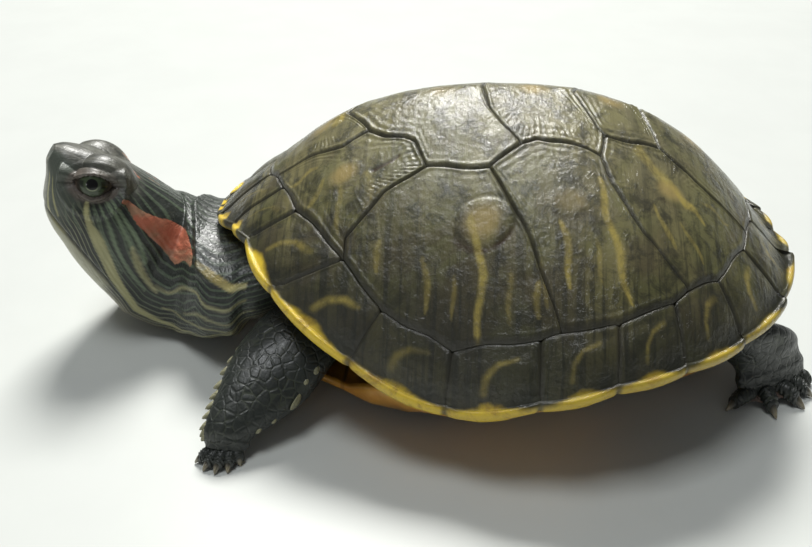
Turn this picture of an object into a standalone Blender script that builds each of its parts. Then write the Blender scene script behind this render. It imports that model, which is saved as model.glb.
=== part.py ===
"""Red-eared slider turtle: a still, life-size model of a young animal.

The turtle stands on its four feet with its head raised and turned a little to its left.
Shapes are written in shell units, where the carapace is 99.2 units long: +X is the animal's
left, -Y is forward, +Z is up and the floor is z = 0. Each mesh is scaled to metres when it is
made, and the whole animal is moved at the end so that the middle of its box stands on the origin.
"""
import math

import bmesh
import bpy
import numpy as np

# --- driving dimensions -------------------------------------------------------------------
CARAPACE_LENGTH = 0.085          # metres, along the midline
SHELL_UNITS = 99.2               # length of the carapace in shell units
UNIT = CARAPACE_LENGTH / SHELL_UNITS
GAP = 0.0003 / UNIT              # clearance between neighbouring solids
ROOM = 1.6 * GAP                 # clearance round what runs into the trunk or the neck
PLATE = 2.2                      # vertical thickness of a shell plate
RIM_THICKNESS = 1.7              # thickness of the shell's outer edge
SCALLOP = 0.55                   # how far the middle of an edge plate stands out
SERRATION = 0.9                  # how far the rear corner of a hind edge plate stands out
TRUNK_CLEARANCE = 0.9            # space between the plates and the trunk under them
FLOOR_CLEARANCE = 1.5            # space between the plastron and the trunk over it
FLOOR_NARROWING = 0.86           # width of the trunk's floor against its widest
PLASTRON_LEVEL = 2.8             # height of the plastron above the floor
PLASTRON_THICKNESS = 1.7
HEAD_LENGTH = 25.8               # nose to the back of the skull
HEAD_TURN = math.radians(26.6)   # to the animal's left
HEAD_LIFT = math.radians(37.2)
HEAD_ROLL = math.radians(3.4)
NOSE = np.array([4.66, -77.85, 33.17])
EYE_RADIUS = 3.1

# --- outline of the shell -----------------------------------------------------------------
# The carapace rim where the seams between the edge plates meet it, from the nuchal plate
# at the front round the left side to the tail: x, y, z.
RIM = np.array([
    (0.0, -50.8, 24.0), (3.6, -50.2, 24.4), (9.6, -46.2, 26.0), (15.6, -42.6, 26.9),
    (24.2, -37.2, 23.4), (33.5, -24.1, 17.3), (39.2, -9.5, 13.8), (41.0, 3.7, 17.0),
    (39.8, 14.3, 19.8), (36.4, 24.2, 21.2), (30.4, 33.8, 21.9), (20.5, 42.9, 23.0),
    (7.7, 48.1, 23.7), (0.0, 48.4, 23.5)])
# Height of the shell along its midline: y, z.
KEEL = np.array([
    (-50.8, 24.0), (-47.0, 27.2), (-39.2, 33.6), (-29.4, 41.2), (-19.6, 45.4), (-9.8, 47.4),
    (0.0, 47.9), (9.8, 47.4), (19.6, 45.0), (29.4, 40.2), (39.2, 32.0), (45.1, 25.6), (48.4, 23.5)])
BULGE, FALL = 1.776, 0.935       # exponents of the shell's cross-section
RIDGE, RIDGE_WIDTH = 0.9, 7.0    # how far the flanks fall away from the keel

# Where the seams between the horny plates meet, on the left half: x, y.
SEAMS = {
    "front": (0.0, -40.6), "nuchal": (3.2, -39.9), "v1c1": (5.4, -38.4), "m1": (9.0, -36.9),
    "m2": (14.8, -33.7), "m3": (24.0, -25.3), "m4": (30.0, -19.3), "m5": (34.5, -8.6),
    "m6": (35.5, 3.4), "c2c3": (35.0, 6.3), "m7": (34.1, 14.1), "m8": (30.3, 22.3),
    "c3c4": (28.5, 24.4), "m9": (25.2, 29.8), "m10": (17.2, 35.6), "c4v5": (13.5, 37.2),
    "m11": (8.6, 39.3), "tail": (0.0, 41.5),
    "v1a": (6.6, -32.5), "v1b": (8.0, -27.0), "v12": (6.8, -23.0), "v12k": (0.0, -26.8),
    "v2a": (8.6, -20.3), "v2b": (10.0, -17.0), "v2c": (10.8, -15.5), "v2c12": (14.8, -13.7),
    "v2d": (15.6, -9.3), "v2c23": (16.0, -4.0), "v23": (12.6, 0.4), "v3a": (9.3, -2.0),
    "v3b": (5.7, -4.1), "v23k": (0.0, -5.2), "v3c": (11.6, 3.0), "v3d": (12.0, 6.4),
    "v3e": (12.8, 10.9), "v3c34": (13.4, 12.5), "v34": (9.6, 13.4), "v4a": (8.6, 12.4),
    "v34k": (0.0, 9.4), "v4b": (9.6, 17.6), "v45": (8.2, 22.3), "v45k": (0.0, 20.8),
    "v5a": (11.5, 28.2), "c12a": (17.4, -19.6), "c12b": (21.8, -25.2), "c23a": (24.9, 1.3),
    "c23b": (32.6, 5.2), "c34a": (17.6, 13.9), "c34b": (23.9, 18.2)}

# Left half of each vertebral plate, from the midline in front round to the midline behind.
VERTEBRALS = {
    "vertebral_1": "front nuchal v1c1 v1a v1b v12 v12k",
    "vertebral_2": "v12k v12 v2a v2b v2c v2c12 v2d v2c23 v23 v3a v3b v23k",
    "vertebral_3": "v23k v3b v3a v23 v3c v3d v3e v3c34 v34 v4a v34k",
    "vertebral_4": "v34k v4a v34 v4b v45 v45k",
    "vertebral_5": "v45k v45 v5a c4v5 m11 tail"}
COSTALS = {
    "costal_1": "v1c1 m1 m2 m3 c12b c12a v2c12 v2c v2b v2a v12 v1b v1a",
    "costal_2": "m3 m4 m5 m6 c2c3 c23b c23a v2c23 v2d v2c12 c12a c12b",
    "costal_3": "c2c3 m7 m8 c3c4 c34b c34a v3c34 v3e v3d v3c v23 v2c23 c23a c23b",
    "costal_4": "c3c4 m9 m10 c4v5 v5a v45 v4b v34 v3c34 c34a c34b"}
# Seam points along the inner edge of each edge plate.
EDGE_PLATES = [
    "front nuchal", "nuchal v1c1 m1", "m1 m2", "m2 m3", "m3 m4", "m4 m5", "m5 m6",
    "m6 c2c3 m7", "m7 m8", "m8 c3c4 m9", "m9 m10", "m10 c4v5 m11", "m11 tail"]

# Half width of the plastron's flat part from its front edge to the notch behind: x, y.
PLASTRON_EDGE = np.array([
    (6.0, -42.4), (12.5, -40.6), (17.5, -36.6), (21.0, -31.0), (24.0, -25.5), (27.0, -21.0),
    (28.6, -15.0), (27.4, -4.0), (25.0, 6.0), (22.6, 14.0), (20.4, 20.0), (18.8, 26.0),
    (16.6, 32.0), (13.0, 38.5), (6.4, 42.6)])
BRIDGE = (-25.0, -17.0, 12.0, 20.0)    # where the bridge starts, is full, and ends
BRIDGE_TUCK = 3.3                      # how far inside the rim the bridge meets the edge plates
BRIDGE_STRAIGHT = 0.75                 # share of the bridge's rise that is straight, not curved
LOBE_RISE = 0.8                        # how far the edge of a lobe turns up
TAIL_NOTCH = 2.6                       # depth of the notch behind, under the tail

# Trunk: half width and half length of its outline, how square that is, and the spread at
# which the dome's height is read so that the trunk stays clear of the plates.
TRUNK_HALF = np.array([31.0, 36.5])
TRUNK_SQUARENESS = 0.85
TRUNK_SPREAD = 1.07
TRUNK_SHOULDER = 1.2                   # how far the trunk's top edge is rounded down

# Sections of the head along its own axis, as fractions of its length:
# distance from the nose, top, bottom, half width.
HEAD_SECTIONS = np.array([
    (-0.020, 0.145, 0.020, 0.055), (0.025, 0.175, -0.080, 0.115), (0.065, 0.190, -0.200, 0.160),
    (0.120, 0.205, -0.300, 0.195), (0.200, 0.225, -0.380, 0.235), (0.300, 0.235, -0.450, 0.270),
    (0.420, 0.235, -0.535, 0.315), (0.560, 0.220, -0.615, 0.350), (0.720, 0.200, -0.685, 0.385),
    (0.880, 0.175, -0.745, 0.415)])
HEAD_BOXINESS = 0.82             # below 1 squares the sections off
EYE_PLACE = (-0.262, 0.195, 0.065)    # forward, aside, up from the nose, in head lengths
BROW_PLACE = (-0.330, 0.150, 0.125)   # middle of the swelling that holds each eye
BROW_SIZE = (0.180, 0.130, 0.145)     # its half lengths: forward, aside, up
MOUTH_FRONT, MOUTH_BACK = (-0.02, -0.215), (-0.62, -0.510)   # forward, up, in head lengths
NECK_START = 0.894
NECK_BOXINESS = 0.86

# Limbs of the left side. Path of the middle of the limb, then its leading edge and its thickness.
FORELIMB = [                     # centre, half width towards the leading edge, half thickness
    ((12.5, -27.0, 13.6), (-2.4, -5.2, 0.4), 4.4),
    ((21.4, -33.4, 11.7), (-3.4, -6.8, 0.6), 4.0),
    ((28.8, -37.5, 8.5), (-2.0, -6.2, 2.2), 3.4),
    ((33.3, -40.2, 6.2), (-0.7, -4.9, 1.6), 2.7),
    ((36.4, -42.3, 4.2), (0.3, -3.7, 0.9), 2.0)]
FORE_TOES = [(39.2, -47.4), (40.8, -45.7), (41.3, -43.8), (40.9, -41.9), (39.4, -40.2)]
HINDLIMB = [
    ((11.0, 27.0, 13.0), (2.0, -5.0, 0.0), 4.8),
    ((14.8, 34.5, 12.2), (2.6, -5.2, 0.2), 4.5),
    ((15.4, 40.0, 11.4), (2.9, -7.0, -0.6), 4.4),
    ((14.3, 44.4, 9.0), (2.9, -6.8, -0.8), 3.7),
    ((14.6, 46.4, 6.5), (3.2, -6.0, -0.6), 2.9)]
HIND_TOES = [(22.0, 38.8), (23.4, 46.8), (20.6, 52.6), (17.4, 55.2), (13.6, 56.4)]
TAIL_PATH = [(0, 31, 10.5), (-1.0, 39, 10), (-3.2, 45, 8.6), (-5.8, 50, 6.6), (-7.4, 54, 4.8)]
# A toe from root to claw tip: share of its length, lift and thickness as shares of its radius.
TOE_SHAPE = ((0.0, 0.0, 1.0), (0.35, 0.5, 0.95), (0.66, 0.35, 0.8), (0.74, 0.2, 0.5), (1.0, 0.0, 0.1))
RIGHT_FORE_STRIDE, RIGHT_HIND_STRIDE = 3.0, -3.5     # how far the right feet stand further back

COLOURS = {
    "shell": (0.10, 0.10, 0.035), "plastron": (0.80, 0.42, 0.06), "skin": (0.055, 0.075, 0.045),
    "eye": (0.10, 0.14, 0.06)}


# --- small helpers ------------------------------------------------------------------------
def smooth_path(points, per=8):
    """Catmull-Rom curve through the points, with the end points mirrored outward."""
    p = np.asarray(points, float)
    p = np.vstack([2 * p[0] - p[1], p, 2 * p[-1] - p[-2]])
    t = np.linspace(0, 1, per, endpoint=False)[:, None]
    runs = []
    for a, b, c, d in zip(p[:-3], p[1:-2], p[2:-1], p[3:]):
        runs.append(0.5 * (2 * b + (c - a) * t + (2 * a - 5 * b + 4 * c - d) * t**2
                           + (3 * b - a - 3 * c + d) * t**3))
    runs.append(p[-2][None])
    return np.vstack(runs)


RIM_CURVE = smooth_path(RIM)
KEEL_CURVE = smooth_path(KEEL)


def half_width(y):
    return np.interp(y, RIM_CURVE[:, 1], RIM_CURVE[:, 0])


def rim_height(y):
    return np.interp(y, RIM_CURVE[:, 1], RIM_CURVE[:, 2])


def dome(x, y):
    """Height of the carapace over a plan position."""
    aside = np.clip(np.abs(x) / np.maximum(half_width(y), 0.5), 0, 1)
    low = rim_height(y)
    rise = np.maximum(np.interp(y, KEEL_CURVE[:, 0], KEEL_CURVE[:, 1]), low) - low
    flank = RIDGE * np.clip(rise / 15, 0, 1) * (1 - np.exp(-(x / RIDGE_WIDTH)**2)) * (1 - aside)
    return low + rise * (1 - aside**BULGE)**FALL - flank


def plastron_flat(y):
    """Half width of the flat part of the plastron."""
    return np.interp(y, PLASTRON_EDGE[:, 1], PLASTRON_EDGE[:, 0])


def bridge_share(y):
    """0 in front of and behind the bridge, 1 along its middle."""
    return np.interp(y, BRIDGE, (0.0, 1.0, 1.0, 0.0))


def plastron_reach(y):
    """Half width of the whole plastron, with its bridge."""
    lobe = plastron_flat(y) + LOBE_RISE
    return lobe + bridge_share(y) * (half_width(y) - BRIDGE_TUCK - lobe)


def plastron_height(x, y):
    """Height of the plastron's lower face: flat, turned up in front, rising aside to the bridge."""
    front = np.clip((-32.0 - y) / 10.0, 0, 1)**2
    flat = plastron_flat(y)
    aside = np.clip((np.abs(x) - flat) / (plastron_reach(y) - flat), 0, 1)
    top = rim_height(y) - RIM_THICKNESS - PLASTRON_THICKNESS - 1.6 * GAP - PLASTRON_LEVEL
    rise = LOBE_RISE + bridge_share(y) * (top - LOBE_RISE)
    straight = BRIDGE_STRAIGHT * bridge_share(y)
    curve = (1 - np.sqrt(1 - 0.96 * aside**2)) / 0.8
    return PLASTRON_LEVEL + front + rise * (straight * aside + (1 - straight) * curve)


def unit(vector):
    vector = np.asarray(vector, float)
    return vector / np.linalg.norm(vector)


def material(kind):
    name = "turtle_" + kind
    if name in bpy.data.materials:
        return bpy.data.materials[name]
    made = bpy.data.materials.new(name)
    made.use_nodes = True
    shader = made.node_tree.nodes["Principled BSDF"]
    shader.inputs["Base Color"].default_value = (*COLOURS[kind], 1.0)
    shader.inputs["Roughness"].default_value = 0.1 if kind == "eye" else 0.35
    shader.inputs["Metallic"].default_value = 0.0
    return made


def add_object(name, points, faces, kind):
    """One closed mesh object, scaled from shell units to metres, its faces turned outward."""
    mesh = bpy.data.meshes.new(name)
    mesh.from_pydata([tuple(float(c) * UNIT for c in p) for p in points], [], faces)
    work = bmesh.new()
    work.from_mesh(mesh)
    bmesh.ops.recalc_face_normals(work, faces=work.faces)
    bmesh.ops.triangulate(work, faces=[f for f in work.faces if len(f.verts) > 4])
    work.to_mesh(mesh)
    work.free()
    mesh.materials.append(material(kind))
    made = bpy.data.objects.new(name, mesh)
    bpy.context.collection.objects.link(made)
    return made


def ring_faces(rings, count):
    """Quads between successive rings of the same number of points, and a flat cap on each end."""
    faces = []
    for r in range(rings - 1):
        for k in range(count):
            after = (k + 1) % count
            faces.append((r * count + k, r * count + after, (r + 1) * count + after, (r + 1) * count + k))
    faces.append(tuple(range(count))[::-1])
    faces.append(tuple((rings - 1) * count + k for k in range(count)))
    return faces


def loft(name, sections, kind, count=12, boxiness=1.0):
    """Solid through sections, each given by its centre, its side half-axis and its up half-axis."""
    angle = np.arange(count) * 2 * np.pi / count
    side = np.sign(np.cos(angle)) * np.abs(np.cos(angle))**boxiness
    up = np.sign(np.sin(angle)) * np.abs(np.sin(angle))**boxiness
    points = [np.asarray(c) + s * np.asarray(a) + u * np.asarray(b)
              for c, a, b in sections for s, u in zip(side, up)]
    return add_object(name, points, ring_faces(len(sections), count), kind)


def apply_boolean(target, operation, cutter, solver="EXACT"):
    """Boolean of the target with the cutter, which is used up."""
    modifier = target.modifiers.new(operation.lower(), "BOOLEAN")
    modifier.operation = operation
    modifier.object = cutter
    modifier.solver = solver
    graph = bpy.context.evaluated_depsgraph_get()
    mesh = bpy.data.meshes.new_from_object(target.evaluated_get(graph), depsgraph=graph)
    target.modifiers.clear()
    target.data = mesh
    bpy.data.objects.remove(cutter)


def cut_at_floor(target):
    """Cut flat soles: what is below the floor goes, and the cut is closed."""
    work = bmesh.new()
    work.from_mesh(target.data)
    geometry = work.verts[:] + work.edges[:] + work.faces[:]
    cut = bmesh.ops.bisect_plane(work, geom=geometry, dist=1e-7, plane_co=(0, 0, 0),
                                 plane_no=(0, 0, 1), clear_inner=True)
    edges = [e for e in cut["geom_cut"] if isinstance(e, bmesh.types.BMEdge)]
    bmesh.ops.contextual_create(work, geom=edges)
    holes = [e for e in work.edges if e.is_boundary]
    if holes:
        bmesh.ops.holes_fill(work, edges=holes)
    bmesh.ops.recalc_face_normals(work, faces=work.faces)
    bmesh.ops.triangulate(work, faces=[f for f in work.faces if len(f.verts) > 4])
    work.to_mesh(target.data)
    work.free()


# --- carapace -----------------------------------------------------------------------------
def seam_points(names, side=1):
    return [np.array([side * SEAMS[n][0], SEAMS[n][1]]) for n in names.split()]


def inset_outline(outline, distance):
    """Move every edge of a plan outline inward by the distance."""
    outline = np.asarray(outline)
    ahead = np.roll(outline, -1, axis=0) - outline
    turn = np.sum(outline[:, 0] * np.roll(outline[:, 1], -1) - outline[:, 1] * np.roll(outline[:, 0], -1))
    normal = np.stack([-ahead[:, 1], ahead[:, 0]], -1) * np.sign(turn)
    normal /= np.linalg.norm(normal, axis=1)[:, None]
    before = np.roll(normal, 1, axis=0)
    middle = normal + before
    middle /= np.sum(middle * normal, axis=1)[:, None]
    return outline + distance * middle


def plate(name, outline):
    """A plate of the dome: upright walls round a plan outline, its faces following the dome."""
    outline = inset_outline(outline, GAP / 2)
    count = len(outline)
    middle = outline.mean(axis=0)
    points = []
    for drop in (0.0, PLATE):
        for share in (1.0, 0.55):
            plan = middle + (outline - middle) * share
            points += [(x, y, float(dome(x, y)) - drop) for x, y in plan]
        points.append((*middle, float(dome(*middle)) - drop))
    layer = 2 * count + 1
    faces = []
    for k in range(count):
        after = (k + 1) % count
        for base in (0, layer):
            faces.append((base + k, base + after, base + count + after, base + count + k))
            faces.append((base + count + k, base + count + after, base + 2 * count))
        faces.append((k, after, layer + after, layer + k))
    return add_object(name, points, faces, "shell")


def dome_plates():
    for name, names in VERTEBRALS.items():
        left = seam_points(names)
        right = [p * (-1, 1) for p in left[1:-1]]
        plate(name, left + right[::-1])
    for name, names in COSTALS.items():
        plate(name + "_left", seam_points(names))
        plate(name + "_right", seam_points(names, side=-1))


def along(points, share):
    """Point at a share of the length of a line of points."""
    points = np.asarray(points, float)
    reach = np.concatenate([[0], np.cumsum(np.linalg.norm(np.diff(points, axis=0), axis=1))])
    return np.array([np.interp(share * reach[-1], reach, points[:, i]) for i in range(points.shape[1])])


def edge_profile(inner, outer):
    """Closed outline of an edge plate's section, from its inner seam over the top to the underside."""
    profile = []
    for share in (0.0, 0.35, 0.7, 0.93):
        x, y = inner + (outer[:2] - inner) * share
        profile.append((x, y, float(dome(x, y))))
    profile.append((outer[0], outer[1], outer[2] - 0.35 * RIM_THICKNESS))
    level = outer[2] - RIM_THICKNESS
    for share, rise in ((0.93, 0.0), (0.6, 0.22), (0.3, 1.0)):
        x, y = inner + (outer[:2] - inner) * share
        profile.append((x, y, level + (float(dome(x, y)) - 1.2 * PLATE - level) * rise))
    profile.append((*inner, float(dome(*inner)) - PLATE))
    return profile


def edge_plate(name, inner_line, outer_line, side, columns=4, whole=False):
    """Edge plate between an inner seam line and a stretch of rim; a whole one spans the midline."""
    points = []
    inner_line, outer_line = np.asarray(inner_line), np.asarray(outer_line)
    if whole:
        inner_line = np.vstack([inner_line[::-1] * (-1, 1), inner_line[1:]])
        outer_line = np.vstack([outer_line[::-1] * (-1, 1, 1), outer_line[1:]])
    length = np.linalg.norm(inner_line[-1] - inner_line[0])
    margin = 0.5 * GAP / length
    outer_margin = 0.5 * GAP / np.linalg.norm(outer_line[-1] - outer_line[0])
    for k in range(columns):
        share = k / (columns - 1)
        inner = along(inner_line, margin + (1 - 2 * margin) * share)
        outer = along(outer_line, outer_margin + (1 - 2 * outer_margin) * share)
        inner = inner + unit(outer[:2] - inner) * GAP / 2
        points += [(side * x, y, z) for x, y, z in edge_profile(inner, outer)]
    return add_object(name, points, ring_faces(columns, len(points) // columns), "shell")


def rim_stretch(index):
    """The rim of one edge plate: its middle stands out, and behind the flank its rear corner does."""
    per = 8
    line = RIM_CURVE[index * per:(index + 1) * per + 1].copy()
    share = np.linspace(0, 1, per + 1)
    run = line[-1, :2] - line[0, :2]
    if index == 0:
        return line
    out = unit((run[1], -run[0]))
    corner = SERRATION * np.clip((index - 7) / 4, 0, 1) * share**3 * (index < 12)
    line[:, :2] += (SCALLOP * np.sin(np.pi * share) + corner)[:, None] * out
    return line


def edge_plates():
    edge_plate("nuchal", seam_points(EDGE_PLATES[0]), rim_stretch(0), 1, columns=5, whole=True)
    for number, names in enumerate(EDGE_PLATES[1:], start=1):
        for side, word in ((1, "left"), (-1, "right")):
            inner = seam_points(names)
            outer = rim_stretch(number)
            if number == 12:
                inner[-1] = inner[-1] + (GAP / 2, 0)
                outer = outer + np.linspace(0, 1, len(outer))[:, None] * (GAP / 2, 0, 0)
            edge_plate(f"marginal_{number}_{word}", inner, outer, side)


# --- plastron and trunk -------------------------------------------------------------------
def plastron():
    """The lower shell: two flat lobes joined to the carapace by a bridge on each side."""
    rows = smooth_path(PLASTRON_EDGE, per=2)[:, 1]
    half = np.array([0.0, 0.5, 1.0])
    wing = np.array([0.4, 0.75, 1.0])
    points = []
    for y in rows:
        flat, reach = plastron_flat(y), plastron_reach(y)
        side = np.concatenate([flat * half, flat + (reach - flat) * wing])
        across = np.concatenate([-side[:0:-1], side])
        notch = TAIL_NOTCH * np.clip((y - 38.0) / 4.6, 0, 1) * (1 - np.abs(across) / reach)**2
        for drop, order in ((0.0, 1), (PLASTRON_THICKNESS, -1)):
            for x, back in zip(across[::order], (y - notch)[::order]):
                points.append((x, back, float(plastron_height(x, y)) + drop))
    return add_object("plastron", points, ring_faces(len(rows), 22), "plastron")


def trunk():
    """The body inside the shell: its top follows the plates, its floor the plastron."""
    spokes = 28
    outline = []
    for k in range(spokes):
        angle = 2 * math.pi * (k + 0.5) / spokes
        reach_x, reach_y = math.sin(angle), -math.cos(angle)
        outline.append([math.copysign(abs(reach)**TRUNK_SQUARENESS, reach) for reach in (reach_x, reach_y)])
    outline = np.array(outline) * TRUNK_HALF
    points = []
    for share in (1.0, 0.72, 0.36):
        for x, y in outline * share:
            top = float(dome(TRUNK_SPREAD * x, TRUNK_SPREAD * y)) - PLATE - TRUNK_CLEARANCE
            points.append((x, y, top - TRUNK_SHOULDER * (share == 1.0)))
    for share in (1.0, 0.8, 0.4):
        for x, y in outline * share * (FLOOR_NARROWING, 0.97):
            points.append((x, y, float(plastron_height(x, y)) + PLASTRON_THICKNESS + FLOOR_CLEARANCE))
    points.append((0, 0, float(dome(0, 0)) - PLATE - TRUNK_CLEARANCE))
    points.append((0, 0, PLASTRON_LEVEL + PLASTRON_THICKNESS + FLOOR_CLEARANCE))
    faces = []
    top_centre, floor_centre = 6 * spokes, 6 * spokes + 1
    for k in range(spokes):
        after = (k + 1) % spokes
        for upper, lower in ((0, 1), (1, 2), (3, 4), (4, 5), (0, 3)):
            faces.append((upper * spokes + k, upper * spokes + after,
                          lower * spokes + after, lower * spokes + k))
        faces.append((2 * spokes + k, 2 * spokes + after, top_centre))
        faces.append((5 * spokes + k, 5 * spokes + after, floor_centre))
    return add_object("trunk", points, faces, "skin")


# --- head and neck ------------------------------------------------------------------------
def head_axes():
    """Unit vectors of the head: forward, to its left, and up."""
    turn, lift = HEAD_TURN, HEAD_LIFT
    forward = np.array([math.sin(turn) * math.cos(lift), -math.cos(turn) * math.cos(lift), math.sin(lift)])
    left = np.array([math.cos(turn), math.sin(turn), 0.0])
    up = np.cross(forward, left)
    roll = HEAD_ROLL
    return forward, left * math.cos(roll) + up * math.sin(roll), up * math.cos(roll) - left * math.sin(roll)


def head_point(forward, left, up):
    """World place of a point given in head lengths from the nose."""
    axes = head_axes()
    return NOSE + HEAD_LENGTH * (forward * axes[0] + left * axes[1] + up * axes[2])


def head_section(back, top, bottom, half, spread=0.0):
    axes = head_axes()
    centre = head_point(-back, 0, (top + bottom) / 2)
    side = axes[1] * (half * HEAD_LENGTH + spread)
    return centre, side, axes[2] * ((top - bottom) / 2 * HEAD_LENGTH + spread)


def eye_ball(name, side, spread):
    forward, aside, up = EYE_PLACE
    centre = head_point(forward, side * aside, up)
    work = bmesh.new()
    bmesh.ops.create_uvsphere(work, u_segments=14, v_segments=8, radius=EYE_RADIUS + spread)
    points = [centre + np.array(v.co) for v in work.verts]
    faces = [tuple(v.index for v in f.verts) for f in work.faces]
    work.free()
    return add_object(name, points, faces, "eye")


def brow(side):
    """Swelling of the head round one eye socket."""
    axes = head_axes()
    forward, aside, up = BROW_PLACE
    centre = head_point(forward, side * aside, up)
    work = bmesh.new()
    bmesh.ops.create_uvsphere(work, u_segments=12, v_segments=8, radius=HEAD_LENGTH)
    frame = np.array([axis * size for axis, size in zip(axes, BROW_SIZE)])
    points = [centre + np.array(v.co) @ frame for v in work.verts]
    faces = [tuple(v.index for v in f.verts) for f in work.faces]
    work.free()
    return add_object("brow", points, faces, "skin")


def mouth_wedge(name, spread):
    """Block under the mouth plane, which the lower jaw keeps and the head loses."""
    axes = head_axes()
    front, back = np.array(MOUTH_FRONT), np.array(MOUTH_BACK)
    line = (front - back) / np.linalg.norm(front - back)
    normal = np.array([-line[1], line[0]])
    lift = spread / HEAD_LENGTH
    ends = (back - line * lift, front + line * 0.3)
    rows = [ends[0] + normal * lift, ends[1] + normal * lift, ends[1] - normal * 0.6, ends[0] - normal * 0.6]
    points = []
    for side in (-0.6, 0.6):
        for forward, up in rows:
            points.append(NOSE + HEAD_LENGTH * (forward * axes[0] + side * axes[1] + up * axes[2]))
    faces = [(0, 1, 2, 3), (4, 5, 6, 7), (0, 1, 5, 4), (1, 2, 6, 5), (2, 3, 7, 6), (3, 0, 4, 7)]
    return add_object(name, points, faces, "skin")


def head_and_jaw():
    sections = [head_section(*row) for row in HEAD_SECTIONS]
    head = loft("head", sections, "skin", count=20, boxiness=HEAD_BOXINESS)
    jaw = loft("lower_jaw", sections, "skin", count=20, boxiness=HEAD_BOXINESS)
    apply_boolean(jaw, "INTERSECT", mouth_wedge("jaw_keep", 0.0))
    apply_boolean(head, "DIFFERENCE", mouth_wedge("jaw_room", GAP))
    for side in (1, -1):
        apply_boolean(head, "UNION", brow(side))
    for side, word in ((1, "left"), (-1, "right")):
        apply_boolean(head, "DIFFERENCE", eye_ball("socket", side, GAP))
        eye_ball("eye_" + word, side, 0.0)


def neck_sections(spread=0.0):
    last = HEAD_SECTIONS[-1]
    start = head_section(NECK_START, last[1] - 0.002, last[2] - 0.004, last[3] + 0.003, spread)
    rows = [start]
    for centre, side, up in (
            ((-1.0, -60.5, 12.3), (11.4, 3.6, 0.4), (-1.8, 3.0, 10.8)),
            ((1.0, -55.0, 11.5), (14.2, 1.8, 0.2), (-0.8, 1.4, 10.4)),
            ((1.0, -50.0, 11.7), (16.6, 0.6, 0.0), (-0.2, 0.6, 9.5)),
            ((0.6, -46.2, 12.2), (17.4, 0.2, 0.0), (0.0, 0.2, 9.1)),
            ((0.2, -42.6, 14.4), (17.0, 0.0, 0.0), (0.0, 0.0, 7.5)),
            ((0.0, -33.0 + spread, 15.4), (14.0, 0.0, 0.0), (0.0, 0.0, 7.0))):
        side, up = np.array(side), np.array(up)
        rows.append((np.array(centre), side + spread * unit(side), up + spread * unit(up)))
    return rows


# --- limbs and tail -----------------------------------------------------------------------
def limb_sections(table, side, stride, spread=0.0):
    """Sections of a limb; the stride moves its foot back and fades out towards the shoulder."""
    rows = []
    centres = np.array([c for c, edge, thickness in table], float)
    centres[:, 1] += stride * np.linspace(0, 1, len(table))**1.5
    tangents = np.gradient(centres, axis=0)
    centres[0] -= spread * unit(tangents[0])
    for centre, tangent, (c, edge, thickness) in zip(centres, tangents, table):
        edge = np.array(edge, float)
        thick = unit(np.cross(tangent, edge)) * (thickness + spread)
        wide = edge + spread * unit(edge)
        flip = np.array([side, 1, 1])
        rows.append((centre * flip, wide * flip, thick * flip))
    return rows


def toe(name, root, tip, side, radius):
    """One toe with its claw: a tapering loft that arches over a knuckle and ends in a point."""
    root, tip = np.array(root, float), np.array(tip, float)
    run = tip - root
    flat = unit((run[0], run[1], 0))
    across = np.array([-flat[1], flat[0], 0.0])
    rows = []
    for share, lift, thick in TOE_SHAPE:
        centre = root + run * share + np.array([0, 0, lift * radius])
        rows.append((centre, across * radius * thick, np.array([0, 0, radius * thick])))
    flip = np.array([side, 1, 1])
    rows = [(c * flip, a * flip, b) for c, a, b in rows]
    return loft(name, rows, "skin", count=6)


def foot(name, table, toes, side, stride, radius, palm_share):
    """Foot with five clawed toes, its soles cut flat at floor level."""
    ankle, edge, thick = limb_sections(table, 1, stride)[-1]
    above = limb_sections(table, 1, stride)[-2][0]
    onward = unit(np.cross(edge, thick))
    onward = onward * np.sign(np.dot(onward, ankle - above))
    start = ankle + onward * GAP
    tips = [np.array([x, y + stride, 0.17]) for x, y in toes]
    palm_end = start + (np.mean(tips, axis=0) - start) * palm_share
    palm_end[2] = 0.9 * radius
    spread = (tips[-1] - tips[0]) / 2
    spread = spread * np.sign(np.dot(edge[:2], spread[:2]))
    flat_up = unit(unit(thick) + np.array([0, 0, 0.4 * np.sign(thick[2])])) * radius
    rows = [(start, edge * 0.97, thick),
            ((start + palm_end) / 2, (edge + spread * 0.8) / 2, (thick + flat_up) / 2),
            (palm_end, spread * 0.62, flat_up)]
    flip = np.array([side, 1, 1])
    made = loft(name, [(c * flip, a * flip, b * flip) for c, a, b in rows], "skin", count=12)
    for number, tip in enumerate(tips):
        share = number / 2 - 1
        fan = spread * 0.55 * share * np.sign(np.dot(spread, tips[-1] - tips[0]))
        root = palm_end + fan - (palm_end - start) * 0.12
        apply_boolean(made, "UNION", toe("toe", root, tip, side, radius * (1 - 0.13 * abs(share))))
    cut_at_floor(made)
    return made


def limbs():
    for name, table, toes, radius, palm in (
            ("foreleg", FORELIMB, FORE_TOES, 1.15, 0.45), ("hindleg", HINDLIMB, HIND_TOES, 1.6, 0.5)):
        for side, word in ((1, "left"), (-1, "right")):
            stride = 0.0
            if side < 0:
                stride = RIGHT_FORE_STRIDE if name == "foreleg" else RIGHT_HIND_STRIDE
            loft(f"{name}_{word}", limb_sections(table, side, stride), "skin")
            foot(f"{name.replace('leg', 'foot')}_{word}", table, toes, side, stride, radius, palm)


def tail_sections(spread=0.0):
    path = smooth_path(TAIL_PATH, per=2)
    tangents = np.gradient(path, axis=0)
    path[0] -= spread * unit(tangents[0])
    rows = []
    for k, (centre, tangent) in enumerate(zip(path, tangents)):
        radius = 3.6 * (1 - k / (len(path) - 1))**0.8 + 0.45 + spread
        side = unit(np.cross(tangent, (0, 0, 1)))
        rows.append((centre, side * radius, unit(np.cross(side, tangent)) * radius * 0.85))
    return rows


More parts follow.
